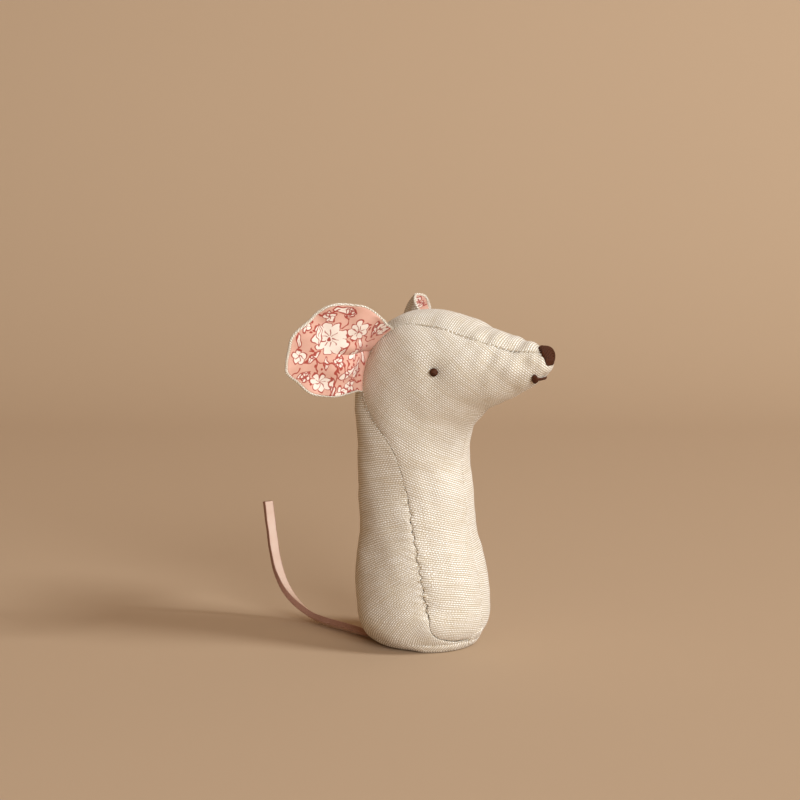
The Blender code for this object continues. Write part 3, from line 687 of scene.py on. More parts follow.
def stitchRow(name, node, stations, angles, size):
    # ladder stitches across a seam, each one a short bar sunk between the two rolled edges
    dice = np.random.default_rng(size["seed"])
    pitch, depth = size["pitch"], size["depth"]
    length, at = seamFrames(stations, angles)
    distance = np.arange(pitch, length - pitch / 2, pitch)
    distance = distance + dice.normal(0, pitch * 0.06, len(distance))
    centre, along, across, outward = at(distance)
    half = (across + along * size["slant"]) * size["width"] / 2 * dice.uniform(0.85, 1.15, (len(distance), 1))
    middle = centre - outward * depth
    paths = [capsule(m - h, m + h, depth * 0.6, o) for m, h, o in zip(middle, half, outward)]
    row = tubes(name, paths, size["radius"], sewingThread, sides=6)
    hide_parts(node)
    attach(row, "body")


def seamLine(side, low, high, count=900):
    stations = np.linspace(low, high, count)
    angles = seamAngle(stations, side)
    return stations, angles if side == "right" else -angles


def lipLine(count=400):
    turn = np.linspace(-0.99, 0.99, count)
    share = np.sign(turn) * lipFraction(np.abs(turn)) * (180 - seamAngle(skin["lipCorner"]))
    return lipStation(np.abs(turn)), 180 - share


stitches = {
    "machine": {"pitch": sewing["stitchPitch"], "width": 0.8 * mm, "depth": 0.22 * mm, "radius": 0.16 * mm,
                "slant": 0.9},
    "hand": {"pitch": 3.1 * mm, "width": 1.5 * mm, "depth": 0.24 * mm, "radius": 0.16 * mm, "slant": 0.8},
    "front": {"pitch": sewing["stitchPitch"], "width": 0.4 * mm, "depth": 0.32 * mm, "radius": 0.1 * mm,
              "slant": 0.5},
    "lip": {"pitch": sewing["stitchPitch"], "width": 0.5 * mm, "depth": 0.4 * mm, "radius": 0.12 * mm,
            "slant": 0.5},
}
seamTop = 12.6
frontLine = np.linspace(skin["lip"] + 0.05, seamTop, 900), np.full(900, 180.0)
rightLine = seamLine("right", skin["closingHigh"], seamTop)
for name, node, line, kind, seed in (
        ("rightSeamStitches", "right_seam_thread", rightLine, "machine", 41),
        ("leftSeamStitches", "left_seam_thread", seamLine("left", 1.0, seamTop), "machine", 42),
        ("closingStitches", "closing_stitches", seamLine("right", 1.0, skin["closingHigh"]), "hand", 43),
        ("frontSeamStitches", "front_seam_thread", frontLine, "front", 44),
        ("lipSeamStitches", "base_seam_thread", lipLine(), "lip", 45)):
    stitchRow(name, node, *line, stitches[kind] | {"seed": seed})
print("seams stitched")


# the tuck of seam allowance at the front corner of the lip

def frontTuck(finish):
    across, rise = np.meshgrid(np.linspace(-1, 1, 60), np.linspace(-1, 1, 60), indexing="xy")
    rounding = np.sqrt(np.clip((1 - across**4) * (1 - rise**6), 0, 1))
    station = 0.56 + 0.13 * rise + 0.02 * across
    angle = 181.0 + 9.0 * across * (1 - 0.12 * rise)
    fold = 0.12 * mm * np.sin(across * 4.0 + rise * 1.5)
    height = (0.95 * mm + fold + 0.12 * mm * rise) * rounding**0.8 - 0.35 * mm
    points = skinPoint(station, angle) + skinNormal(station, angle) * height[..., None]
    uv = np.stack([across * 2.6, rise * 2.2], -1)
    tuck = meshPiece("frontTuck", settleOnFloor(points), gridQuads(60, 60), uv=uv, finish=finish)
    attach(tuck, "body")


frontTuck(gussetLinen)


# ears: a printed front and a linen back, sewn at the rim

ear = {
    # outline of the finished ear around its middle: degrees up from straight outwards, radius in millimetres
    "outline": np.array([
        (-180, 19.5), (-166, 19.9), (-153, 21.8), (-147, 19.8), (-138, 18.2), (-128, 17.2), (-105, 16.4),
        (-88, 16.4), (-64, 15.7), (-54, 16.5), (-46, 16.8), (-38, 16.0), (-22, 14.5), (-3, 14.1), (8, 13.4),
        (22, 12.5), (35, 12.3), (45, 13.0), (57, 14.1), (70, 15.3), (83, 16.1), (96, 17.1), (107, 18.6),
        (117, 19.5), (128, 20.2), (137, 21.2), (144, 23.0), (152, 21.4), (166, 19.7), (180, 19.5)]),
    "middle": 18.5 * mm, "stations": (5.95, 7.85), "sweep": 41.0, "edge": 0.5 * mm, "puffFront": 0.55 * mm,
    "puffBack": 0.5 * mm, "rim": 0.53 * mm, "weave": 0.3, "cup": {"right": 0.0, "left": 9.0 * mm},
}


def earFrame():
    low, high = (skinPoint(station, seamAngle(station)) for station in ear["stations"])
    up = unit(high - low)
    sweep = math.radians(ear["sweep"])
    out = np.array([-math.sin(sweep), -math.cos(sweep), 0.06])
    out = unit(out - up * (out @ up))
    return (low + high) / 2, out, up, np.cross(up, out)


def earShape(p, t, side):
    # the ear's middle surface: rooted on the curved seam, dished, with one crease from its root
    middle, out, up, forwards = earFrame()
    stations = np.linspace(ear["stations"][0] - 0.3, ear["stations"][1] + 0.3, 60)
    seam = skinPoint(stations, seamAngle(stations))
    onChord = (seam - middle) @ up
    pull = 1 - ease(p, 1.0 * mm, 13.0 * mm)
    rootPoint = np.stack([np.interp(t, onChord, seam[:, k]) for k in range(3)], -1)
    flat = middle + p[..., None] * out + t[..., None] * up
    chord = middle + t[..., None] * up
    shift = rootPoint - chord
    shift = shift - (shift @ up)[..., None] * up
    # crease: its line runs from the root at (p 4.9, t 1.8) outwards to (16.8, -1.2), in millimetres
    line = (1.8 - (p / mm - 4.9) * 3.0 / 11.9) * mm
    below = line - t
    depth = 2.0 * mm * (1 - ease(p, 6 * mm, 20 * mm))
    crease = -depth * np.exp(-np.abs(below) / (1.5 * mm))
    bulge = 1.9 * mm * np.exp(-((p / mm - 10.5) / 5.5) ** 2 - ((below / mm - 5.5) / 3.6) ** 2)
    overhang = 0.9 * mm * np.exp(-((p / mm - 10.5) / 6.0) ** 2 - ((below / mm + 2.6) / 2.4) ** 2)
    away = np.sqrt(((p / mm - 18.5) / 15) ** 2 + (t / mm / 16) ** 2)
    dish = 1.7 * mm * np.clip(away, 0, 1.3) ** 3 * ease(p, 4 * mm, 16 * mm)
    wave = 0.45 * mm * softNoise(np.stack([p, t], -1), 13 * mm, 61, 7) * ease(p, 3 * mm, 12 * mm)
    # the left ear cups forwards, and its upper part first leans back
    lean = 0.7 * np.sin(math.pi * np.clip(p / (28 * mm), 0, 1)) * ease(t, -6 * mm, 8 * mm)
    cup = ear["cup"][side] * (np.maximum((p - 8 * mm) / (25 * mm), 0) ** 2 - lean)
    stand = crease + bulge + overhang + dish + wave + cup
    return flat + shift * pull[..., None] + forwards * stand[..., None]


def earSurface(theta, ring, height, side):
    # theta and ring are arrays over the ear; height stands off the middle surface along its normal
    radius = smoothCurve(ear["outline"][:, 0], ear["outline"][:, 1] * mm, theta)
    radius = radius * ring
    p = ear["middle"] + radius * np.cos(np.radians(theta))
    t = radius * np.sin(np.radians(theta))
    centre = earShape(p, t, side)
    step = 0.1 * mm
    normal = unit(np.cross(earShape(p, t + step, side) - centre, earShape(p + step, t, side) - centre))
    root = ease(p, 0.5 * mm, 5 * mm)
    return centre + normal * (height * (0.35 + 0.65 * root))[..., None], p, t


# the print, in millimetres on the flat ear: outwards from its root, upwards from its middle
flowerPrint = {
    # centre, radius, petals, turn in degrees, how deep the petals are cut
    "blossoms": (
        ((19.6, 3.4), 6.2, 9, 20, 0.3), ((11.3, 9.3), 3.7, 7, 80, 0.4), ((17.2, -11.6), 3.8, 7, 15, 0.45),
        ((8.6, 0.6), 2.6, 5, 50, 0.45), ((27.6, -5.8), 2.7, 5, 0, 0.42), ((3.6, 12.2), 2.6, 6, 10, 0.4),
        ((9.0, -12.6), 2.3, 5, 40, 0.45), ((29.4, 4.4), 2.0, 5, 30, 0.42), ((13.6, -3.6), 2.0, 6, 0, 0.42),
        ((22.6, 10.6), 2.1, 5, 12, 0.42), ((23.0, -11.6), 1.7, 5, 33, 0.4), ((16.4, 14.2), 1.9, 5, 60, 0.42),
        ((4.4, -4.4), 2.3, 6, 70, 0.42), ((6.2, -9.8), 2.2, 5, 10, 0.42), ((2.2, -11.6), 1.8, 5, 50, 0.4)),
    # start, end, width
    "leaves": (
        ((14.6, 15.2), (22.6, 13.4), 1.3), ((25.0, 7.0), (22.4, 0.2), 1.0), ((4.2, 8.8), (6.6, 14.6), 0.9),
        ((6.3, -3.2), (12.2, -8.4), 1.3), ((22.4, -9.2), (25.6, -13.2), 1.0),
        ((28.6, -3.0), (30.6, 1.6), 0.8),
        ((12.8, 2.9), (15.1, -2.7), 0.8), ((6.8, 3.8), (9.6, 6.6), 0.8), ((3.0, -6.2), (4.8, 0.0), 0.9),
        ((11.2, -15.4), (14.4, -8.4), 0.8), ((0.6, -1.8), (3.6, 3.4), 0.8), ((7.6, -15.6), (8.6, -12.6), 0.7),
        ((24.6, -7.4), (21.4, -2.2), 0.8), ((16.4, -7.2), (18.6, -3.4), 0.8)),
    "stems": (
        ((27.5, 9.0), (23.8, 11.0), (20.2, 14.2)), ((14.4, -4.2), (12.6, -9.0), (12.4, -15.8)),
        ((24.6, -1.6), (20.8, -5.4), (16.0, -4.4), (12.6, -6.2)), ((10.8, 6.2), (9.6, 3.2), (9.2, 2.0)),
        ((19.8, -8.6), (21.2, -5.6), (24.0, -4.4)), ((26.0, -9.6), (27.4, -12.6)), ((5.4, 4.4), (7.6, -1.0)),
        ((17.0, 8.4), (15.6, 10.8), (17.4, 12.4)), ((0.5, -7.0), (3.4, -8.0), (8.6, -6.0), (11.0, -2.0)),
        ((9.4, -9.0), (10.4, -6.2), (13.4, -1.4)), ((2.0, 8.0), (4.6, 6.6), (8.0, 8.4)),
        ((7.0, -7.0), (5.2, -10.0)), ((30.6, 8.8), (27.2, 9.4))),
    "berries": (
        (15.9, 11.6), (16.9, 12.7), (15.4, 13.0), (22.6, -3.0), (23.6, -4.0), (24.3, -2.6), (21.0, -6.8),
        (5.8, 1.6), (4.8, 2.6), (6.0, 3.2), (10.0, -3.4), (27.6, 6.6), (28.9, 7.4), (7.6, 11.2), (8.4, 12.4),
        (20.4, -13.4), (12.0, 5.0), (7.4, -2.4), (8.4, -3.4), (2.2, -7.6), (1.4, -5.6), (10.6, -10.8),
        (25.9, 4.0), (26.6, 3.0), (14.6, 6.4), (3.4, 5.0), (18.4, -7.2)),
    "waver": 0.34, "outline": 0.2, "stemWidth": 0.22, "berry": 0.48,
    "ground": ("#e6b9a5", "#d7a38d"), "petal": "#f7ebdc", "ink": "#a5301f", "weaveShade": "#7d3f2e",
}


def blossom(p, t, centre, size, petals, turn, ragged=0.34):
    x, y = p - centre[0], t - centre[1]
    r, a = np.hypot(x, y), np.arctan2(y, x) + math.radians(turn)
    edge = size * (1 - ragged + ragged * np.abs(np.cos(petals * a / 2)) ** 0.7)
    edge = edge * (1 + 0.1 * np.sin(2 * a + 1))
    return (r - edge) * 0.8


def leaf(p, t, start, end, width):
    # pointed oval between two points
    start, end = np.asarray(start, float), np.asarray(end, float)
    axis = end - start
    length = np.hypot(*axis)
    axis = axis / length
    x = (p - start[0]) * axis[0] + (t - start[1]) * axis[1] - length / 2
    y = np.abs(-(p - start[0]) * axis[1] + (t - start[1]) * axis[0])
    bulge = (length**2 / 4 - width**2) / (2 * width)
    return np.hypot(x, y + bulge) - (width + bulge)


def stem(p, t, points):
    # distance to a smooth line through a few points
    keys = np.arange(len(points))
    line = smoothCurve(keys, np.array(points, float), np.linspace(0, len(points) - 1, 14 * (len(points) - 1)))
    nearest = np.full(p.shape, 99.0)
    for a, b in zip(line[:-1], line[1:]):
        ab = b - a
        along = np.clip(((p - a[0]) * ab[0] + (t - a[1]) * ab[1]) / max(ab @ ab, 1e-9), 0, 1)
        nearest = np.minimum(nearest, np.hypot(p - a[0] - along * ab[0], t - a[1] - along * ab[1]))
    return nearest


def floralPrint(p, t):
    # cream is below 0 inside blossoms and leaves; line is below 0 on drawn lines and berries
    p, t = p / mm, t / mm
    place = np.stack([p, t], -1)
    p = p + flowerPrint["waver"] * softNoise(place, 2.6, 71, 7)
    t = t + flowerPrint["waver"] * softNoise(place, 2.6, 72, 7)
    cream = np.full(p.shape, 99.0)
    line = np.full(p.shape, 99.0)
    for centre, size, petals, turn, ragged in flowerPrint["blossoms"]:
        shape = blossom(p, t, centre, size, petals, turn, ragged)
        cream = np.minimum(cream, shape)
        line = np.minimum(line, np.abs(shape) - flowerPrint["outline"])
        angles = np.radians(np.arange(petals) * 360 / petals + 14 - turn)
        for a in angles:
            inner = (centre[0] + 0.16 * size * np.cos(a), centre[1] + 0.16 * size * np.sin(a))
            outer = (centre[0] + 0.5 * size * np.cos(a + 0.15), centre[1] + 0.5 * size * np.sin(a + 0.15))
            line = np.minimum(line, stem(p, t, [inner, outer]) - 0.15)
        line = np.minimum(line, np.hypot(p - centre[0], t - centre[1]) - 0.4)
    for start, end, width in flowerPrint["leaves"]:
        shape = leaf(p, t, start, end, width)
        cream = np.minimum(cream, shape)
        line = np.minimum(line, np.abs(shape) - flowerPrint["outline"])
        line = np.minimum(line, stem(p, t, [start, (np.asarray(start) * 0.4 + np.asarray(end) * 0.6)]) - 0.1)
    for points in flowerPrint["stems"]:
        line = np.minimum(line, stem(p, t, points) - flowerPrint["stemWidth"])
    for x, y in flowerPrint["berries"]:
        line = np.minimum(line, np.hypot(p - x, t - y) - flowerPrint["berry"])
    ring = np.abs(np.hypot(p - 9.9, t + 5.6) - 0.75) - 0.16
    return cream, np.minimum(line, ring)


# Printed cotton lawn: a fine even plain weave, lines slightly feathered where the dye ran.
def printMaterial():
    # the cotton's own weave is finer than shows, and is drawn at the ear's weave spacing
    made, tree, shader = newMaterial("printed cotton lawn", 0.85, sheen=0.15)
    uv = addNode(tree, "UVMap", uv_map="UVMap")
    cream = addNode(tree, "Attribute", output="Fac", attribute_name="cream")
    line = addNode(tree, "Attribute", output="Fac", attribute_name="line")
    fibre = addNode(tree, "TexNoise", {"Vector": uv, "Scale": 1 / 0.3125, "Detail": 3.0})
    bleed = addNode(tree, "Math", (fibre, 0.22, -0.11), operation="MULTIPLY_ADD")
    inkEdge = addNode(tree, "Math", (line, bleed), operation="ADD")
    ink = addNode(tree, "MapRange", (inkEdge, 0.07, -0.07, 0.0, 0.96))
    petal = addNode(tree, "MapRange", (cream, 0.06, -0.06, 0.0, 1.0))
    cloud = addNode(tree, "TexNoise", {"Vector": uv, "Scale": 1 / 2.857, "Detail": 2.0})
    light, dark = (linear(tone) for tone in flowerPrint["ground"])
    ground = addNode(tree, "Mix", {0: cloud, 6: light, 7: dark}, 2, data_type="RGBA")
    painted = addNode(tree, "Mix", {0: petal, 6: ground, 7: linear(flowerPrint["petal"])}, 2,
                      data_type="RGBA")
    inked = addNode(tree, "Mix", {0: ink, 6: painted, 7: linear(flowerPrint["ink"])}, 2, data_type="RGBA")
    threads = []
    for place in addNode(tree, "SeparateXYZ", [uv]).node.outputs[:2]:
        wave = addNode(tree, "Math", (place, math.pi / ear["weave"]), operation="MULTIPLY")
        wave = addNode(tree, "Math", [wave], operation="SINE")
        threads.append(addNode(tree, "Math", [wave], operation="ABSOLUTE"))
    weave = addNode(tree, "Math", threads, operation="MULTIPLY")
    hollows = addNode(tree, "Math", (weave, -0.16, 0.16), operation="MULTIPLY_ADD")
    colour = addNode(tree, "Mix", {0: hollows, 6: inked, 7: linear(flowerPrint["weaveShade"])}, 2,
                     data_type="RGBA")
    finishSurface(tree, shader, colour, weave, 0.45, 0.05 * mm)
    return made


printCotton = printMaterial()


def earPieces(side):
    # the printed front, and the linen back that rolls round the rim on to the front
    theta = np.linspace(-180, 180, 560, endpoint=False)[:, None]
    flip = np.array([1.0, -1.0, 1.0]) if side == "left" else np.ones(3)
    radius = smoothCurve(ear["outline"][:, 0], ear["outline"][:, 1] * mm, theta)
    circle = np.stack([np.cos(np.radians(theta)), np.sin(np.radians(theta))], -1)
    rim = ear["rim"] * (1 + 0.5 * np.maximum(circle[..., 0], 0) + 0.1 * softNoise(circle, 1.3, 65, 6))
    # front: rings from the middle to the rim, its edge turned down into the rim's seam
    ring = np.concatenate([np.linspace(0, 0.96, 84), np.linspace(0.965, 1, 8)])[None, :]
    reach = (radius - rim) / radius
    toEdge = (1 - ring) * radius
    puff = ear["edge"] + ear["puffFront"] * (1 - ring**4)
    ripple = 0.05 * mm * softNoise(np.stack(np.broadcast_arrays(theta / 9, ring * 0), -1), 1.1, 66, 5)
    height = puff + rolled(toEdge, 0.35 * mm) + ripple * np.exp(-toEdge / (1.2 * mm))
    front, p, t = earSurface(theta + ring * 0, ring * reach, height, side)
    cream, line = floralPrint(p, t)
    quads = fanQuads(len(theta), ring.shape[1])
    if side == "right":
        quads = quads[:, ::-1]
    uv = np.stack([p, t], -1) / mm
    face = meshPiece(side + "EarFront", front * flip, quads, uv=uv, marks={"cream": cream, "line": line},
                     finish=printCotton)
    # back: rings from the middle out, round the rim, and on to the front
    turn = np.linspace(0, math.pi, 12)[None, 1:-1]
    back = np.linspace(0, 1, 60)[None, :]
    inward = np.linspace(0, 1, 7)[None, :]
    edge = ear["edge"]
    ringBack = back * ((radius - edge) / radius)
    heightBack = -(edge + ear["puffBack"] * (1 - back**4)) + 0 * theta
    ringRim = (radius - edge + edge * np.sin(turn)) / radius
    heightRim = -edge * np.cos(turn) + 0 * theta
    ringFront = (radius - edge - (rim - edge + 0.12 * mm) * inward) / radius
    heightFront = edge * (1 + 0.15 * np.sin(math.pi * inward))
    heightFront = heightFront + rolled((1 - inward) * (rim - edge) + 0 * theta, 0.3 * mm)
    rings = np.concatenate([ringBack, ringRim, ringFront], 1)
    heights = np.concatenate([heightBack, heightRim, heightFront], 1)
    shell, p, t = earSurface(theta + 0 * rings, rings, heights, side)
    quads = fanQuads(len(theta), rings.shape[1])
    if side == "left":
        quads = quads[:, ::-1]
    walk = walked(shell, 1) / mm
    uv = np.stack([walk * np.cos(np.radians(theta)), walk * np.sin(np.radians(theta))], -1)
    shellPiece = meshPiece(side + "EarBack", shell * flip, quads, uv=uv, finish=earLinen)
    for piece, node, slotName in ((face, side + "_ear_front", "printed_cotton"),
                                  (shellPiece, side + "_ear_back", "linen_cloth")):
        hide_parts(node)
        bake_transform(piece)


earLinen = linenMaterial("washed linen plain weave, ear backs", 35)
earPieces("right")
earPieces("left")
print("ears made")


# face: nose, mouth and eyes in brown floss

def onNose(across, rise, height):
    # a disc laid over the tip of the snout: across to the right, rise towards the crown
    reach = np.sqrt(across**2 + rise**2)
    angle = np.degrees(np.arctan2(across, rise))
    rim = noseStation(angle)
    station = tipStation - (tipStation - rim) * reach
    points = skinPoint(station, angle)
    return points + unit(points - np.array([40.0, 0.0, 99.0]) * mm) * np.asarray(height)[..., None]


def noseHeight(across, rise):
    reach = across**2 + rise**2
    dome = np.sqrt(np.clip(1 - reach * 0.97, 0, 1))
    return (-0.2 + 0.3 * dome + 0.95 * np.clip(rise + 0.2, 0, 1) * dome**0.5) * mm


def noseStrands():
    # satin stitch: strands of floss laid side by side from one side of the nose to the other
    paths = []
    for k, rise in enumerate(np.linspace(-0.96, 0.96, 19)):
        half = math.sqrt(1 - rise**2) * (1.0 + 0.03 * math.sin(k * 2.4))
        across = half * np.sin(np.linspace(-1, 1, 30) * math.pi / 2)
        height = noseHeight(across, np.full(30, rise)) - 0.02 * mm
        height = height - 0.4 * mm * (np.abs(across) / half) ** 14
        paths.append(onNose(across, np.full(30, rise), height))
    return paths


nose = {"strand": 0.36 * mm}
noseStitches = tubes("noseStitches", noseStrands(), nose["strand"], brownFloss, sides=10)
radial, around = np.meshgrid(np.linspace(0, 1.0, 24), np.radians(np.linspace(0, 360, 72, endpoint=False)),
                             indexing="ij")
across, rise = radial * np.sin(around), radial * np.cos(around)
underlay = onNose(across, rise, noseHeight(across, rise) * (1 - radial**8))
padding = meshPiece("nosePadding", underlay, gridQuads(24, 72, closed=True)[:, ::-1],
                    uv=np.stack([across, rise], -1) * 4, finish=brownFloss)
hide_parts("nose")
for piece in (noseStitches, padding):
    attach(piece, "body")


def onSkin(station, angle, height):
    return skinPoint(station, angle) + skinNormal(station, angle) * np.asarray(height)[..., None]


mouth = {"strand": 0.38 * mm, "lineHeight": 0.42 * mm, "cornerLow": 0.3 * mm, "cornerFat": 0.75 * mm}


def mouthStrands():
    # two strands along the smile, which end in a fat bundle of stitches at its right corner
    paths = []
    across = np.linspace(-1, 1, 60)
    for shift in (-0.04, 0.04):
        station = 12.2 - 0.35 * np.abs(across) ** 1.5 + shift
        angle = 180 - 34 * across
        paths.append(onSkin(station, angle, np.full(60, mouth["lineHeight"])))
    t = np.linspace(0, 1, 16)
    for offset in np.linspace(-1, 1, 5):
        share = 0.5 + (t - 0.5) * (1 - 0.45 * offset**2)
        station = 11.6 + 0.42 * share + offset * 0.09
        angle = 160 - 33 * share + offset * 7
        fat = mouth["cornerFat"] * np.sin(math.pi * t) ** 0.6 * (1 - 0.3 * abs(offset))
        paths.append(onSkin(station, angle, mouth["cornerLow"] + fat))
    return paths


mouthStitches = tubes("mouthStitches", mouthStrands(), mouth["strand"], brownFloss, sides=9)
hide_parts("mouth")
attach(mouthStitches, "body")


def eyeKnot(sign):
    # a knot of floss: one strand coiled round and over itself, in its dimple
    centre = skinPoint(eye["station"], eye["angle"] * sign)
    outward = skinNormal(eye["station"], eye["angle"] * sign)
    side = unit(np.cross(outward, [0, 0, 1.0]))
    up = np.cross(side, outward)
    turn = np.linspace(0, 1, 90)
    angle = turn * 2 * math.pi * 3.1
    radius = eye["radius"] * (1 - turn**2.2) + 0.05 * mm
    height = -0.35 * mm + 1.15 * mm * turn**1.3
    path = (centre + radius[:, None] * (np.cos(angle)[:, None] * side + np.sin(angle)[:, None] * up)
            + height[:, None] * outward)
    bar = np.linspace(-1, 1, 20)[:, None]
    over = centre + side * bar * 0.75 * mm + up * bar * 0.35 * mm + outward * (0.85 * mm - 0.75 * mm * bar**4)
    return [path, over]


for side, sign in (("right", 1), ("left", -1)):
    knot = tubes(side + "EyeKnot", eyeKnot(sign), eye["strand"], brownFloss, sides=10)
    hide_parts(side + "_eye")
    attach(knot, "body")
print("face stitched")


# leather tail

lace = {
    "route": mm * np.array([
        (-9, -9.8, 5.4), (-16, -7.8, 2.4), (-21.5, -6, 1.35), (-29, -3.7, 1.35), (-40, -0.5, 1.5),
        (-47.7, 1.8, 2.3), (-54.7, 3, 5.6), (-60, 3.5, 10.6), (-63.7, 4, 17), (-65.5, 4, 24), (-66.9, 4, 33),
        (-68.2, 4, 42.5)]),
    "width": 3.4 * mm, "thickness": 2.2 * mm, "corner": 0.3 * mm, "join": -38.0 * mm, "twist": (-36.0, 21.0),
    # cutEdge colours: the fibrous edges' own tone, darkened as painted shade on the lace's sides
    "face": ("#f1dac9", "#dcb9a2"), "cutEdge": ("#75493a", "#bd927d"),
}


# Vegetable-tanned cowhide lace, cut square: smooth grain on its upper face, raw fibrous cut edges, darker:
# partly their own tone and partly painted shade on the sides that face away from the light.
def leatherMaterial():
    # fibres run along the lace, 0.12 mm wide and 1 mm long; pores are drawn 0.4 mm apart so that they show
    made, tree, shader = newMaterial("vegetable-tanned leather lace", 0.55)
    uv = addNode(tree, "UVMap", uv_map="UVMap")
    cutEdge = addNode(tree, "Attribute", output="Fac", attribute_name="cutEdge")
    place = addNode(tree, "TexCoord", output="Object")
    stretched = addNode(tree, "Mapping", {"Vector": uv, "Scale": (6.0, 0.7, 1.0)})
    fibres = addNode(tree, "TexNoise", {"Vector": stretched, "Scale": 1 / 0.714, "Detail": 5.0})
    pores = addNode(tree, "TexVoronoi", {"Vector": place, "Scale": 1 / (0.385 * mm)})
    cloud = addNode(tree, "TexNoise", {"Vector": place, "Scale": 1 / (6.25 * mm), "Detail": 3.0})
    light, dark = (linear(tone) for tone in lace["face"])
    face = addNode(tree, "Mix", {0: cloud, 6: light, 7: dark}, 2, data_type="RGBA")
    # painted shade: the cut edges' darker colours stand partly for shade on the lace's sides
    dark, light = (linear(tone) for tone in lace["cutEdge"])
    edge = addNode(tree, "Mix", {0: fibres, 6: dark, 7: light}, 2, data_type="RGBA")
    colour = addNode(tree, "Mix", {0: cutEdge, 6: face, 7: edge}, 2, data_type="RGBA")
    grain = addNode(tree, "Mix", {0: cutEdge, 6: pores, 7: fibres}, 2, data_type="RGBA")
    finishSurface(tree, shader, colour, grain, 0.35, 0.08 * mm)
    return made


def laceProfile():
    # rounded rectangle, slightly hollow on top: across, up, and how much of the cut edge shows
    halves, corner = np.array([lace["width"], lace["thickness"]]) / 2, lace["corner"]
    arcs = []
    for k, signs in enumerate(((1, 1), (-1, 1), (-1, -1), (1, -1))):
        turn = np.radians(90 * k + np.linspace(0, 90, 5))
        arcs.append(np.array(signs) * (halves - corner) + corner * np.stack([np.cos(turn), np.sin(turn)], -1))
    share = np.linspace(0, 1, 7)[1:-1, None]
    sides = [arc[-1] + (following[0] - arc[-1]) * share for arc, following in zip(arcs, arcs[1:] + arcs[:1])]
    profile = np.concatenate([part for pair in zip(arcs, sides) for part in pair])
    onFace = np.abs(profile[:, 1]) > halves[1] * 0.9
    profile[:, 1] -= 0.1 * mm * (1 - (profile[:, 0] / halves[0]) ** 2) * np.sign(profile[:, 1]) * onFace
    cutEdge = ease(np.abs(profile[:, 0]), halves[0] - 0.35 * mm, halves[0] - 0.1 * mm)
    return profile, cutEdge


def lacePiece(name, start, end, finish):
    # the stretch of lace between two places along its route, 0 at the root and 1 at the free end
    at = np.linspace(start, end, 260) * (len(lace["route"]) - 1)
    line = smoothCurve(np.arange(len(lace["route"])), lace["route"], at)
    walk = walked(line[:, None], 0)[:, 0]
    tangent = unit(np.gradient(line, axis=0))
    whole = lace["route"][-1] - lace["route"][2]
    level = unit(np.array([whole[1], -whole[0], 0.0]))
    up = unit(np.cross(level, tangent))
    up = up * np.where((up[:, 2:] > 0) | (tangent[:, 2:] > 0.7), 1, -1)
    # the lace lies tilted on the floor and turns the other way towards its free end
    low, high = lace["twist"]
    tilt = low * ease(at, 0.6, 2.4) + (high - low) * ease(at, 4.6, 9.4)
    line[:, 2] += 0.45 * mm * np.clip(tilt / low, 0, 1)
    twist = np.radians(tilt)[:, None]
    level, up = level * np.cos(twist) + up * np.sin(twist), up * np.cos(twist) - level * np.sin(twist)
    profile, cutEdge = laceProfile()
    uneven = 1 + 0.025 * softNoise(walk[:, None], 9 * mm, 81, 5)
    onEdge = np.stack(np.broadcast_arrays(walk[:, None] / mm, profile[None, :, 1] / mm * 3), -1)
    rough = 0.035 * mm * softNoise(onEdge, 1.1, 82, 7)
    points = (line[:, None] + level[:, None] * (profile[None, :, :1] * uneven[:, None, None])
              + up[:, None] * profile[None, :, 1:])
    points = points + level[:, None] * (np.sign(profile[None, :, :1]) * (rough * cutEdge[None])[..., None])
    points[..., 2] = np.maximum(points[..., 2], 0.03 * mm)
    around = np.cumsum(np.linalg.norm(np.diff(profile, axis=0, append=profile[:1]), axis=1)) / mm
    caps = []
    shrink = np.array([0.0, 0.5, 0.85, 0.96])[:, None, None]
    for row, sign in ((0, -1), (-1, 1)):
        centre, outwards = points[row].mean(0), tangent[row] * sign
        caps.append(centre + (points[row] - centre) * shrink + outwards * 0.16 * mm * (1 - shrink**6))
    full = np.concatenate([caps[0], points, caps[1][::-1]])
    capMark = np.ones((4, len(profile)))
    edgeMark = np.concatenate([capMark, np.broadcast_to(cutEdge, points.shape[:2]), capMark])
    along = np.concatenate([np.full(4, walk[0]), walk, np.full(4, walk[-1])]) / mm
    uv = np.stack(np.broadcast_arrays(around[None], along[:, None]), -1)
    piece = meshPiece(name, full, gridQuads(full.shape[0], full.shape[1], closed=True), uv=uv,
                      marks={"cutEdge": edgeMark}, finish=finish)
    print(name, "%.0f mm" % (walk[-1] / mm))
    return piece


leather = leatherMaterial()
routeKeys = np.linspace(0, 1, 2001)
routeFine = smoothCurve(np.arange(len(lace["route"])), lace["route"], routeKeys * (len(lace["route"]) - 1))


def placeAtX(x):
    return float(np.interp(-x, -routeFine[:, 0], routeKeys))


joinAt = placeAtX(lace["join"])
tailBase = lacePiece("tailNearBody", 0.0, joinAt, leather)
tailTip = lacePiece("tailFreeEnd", joinAt - 0.002, 1.0, leather)
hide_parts("tail_root", "tail_base")
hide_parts("tail_tip")
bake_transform(tailBase)
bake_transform(tailTip)
print("tail made")


# filling and rattle, inside

def fibreMaterial():
    # Crimped polyester fibre: white, matt, tangled strands in clumps.
    made, tree, shader = newMaterial("crimped polyester fibre filling", 0.95, sheen=0.4)
    place = addNode(tree, "TexCoord", output="Object")
    clump = addNode(tree, "TexNoise", {"Vector": place, "Scale": 1 / (3.85 * mm), "Detail": 6.0,
                                       "Distortion": 2.5})
    colour = addNode(tree, "Mix", {0: clump, 6: linear("#d9d3c8"), 7: linear("#fbf8f2")}, 2, data_type="RGBA")
    finishSurface(tree, shader, colour, clump, 0.9, 0.4 * mm)
    return made


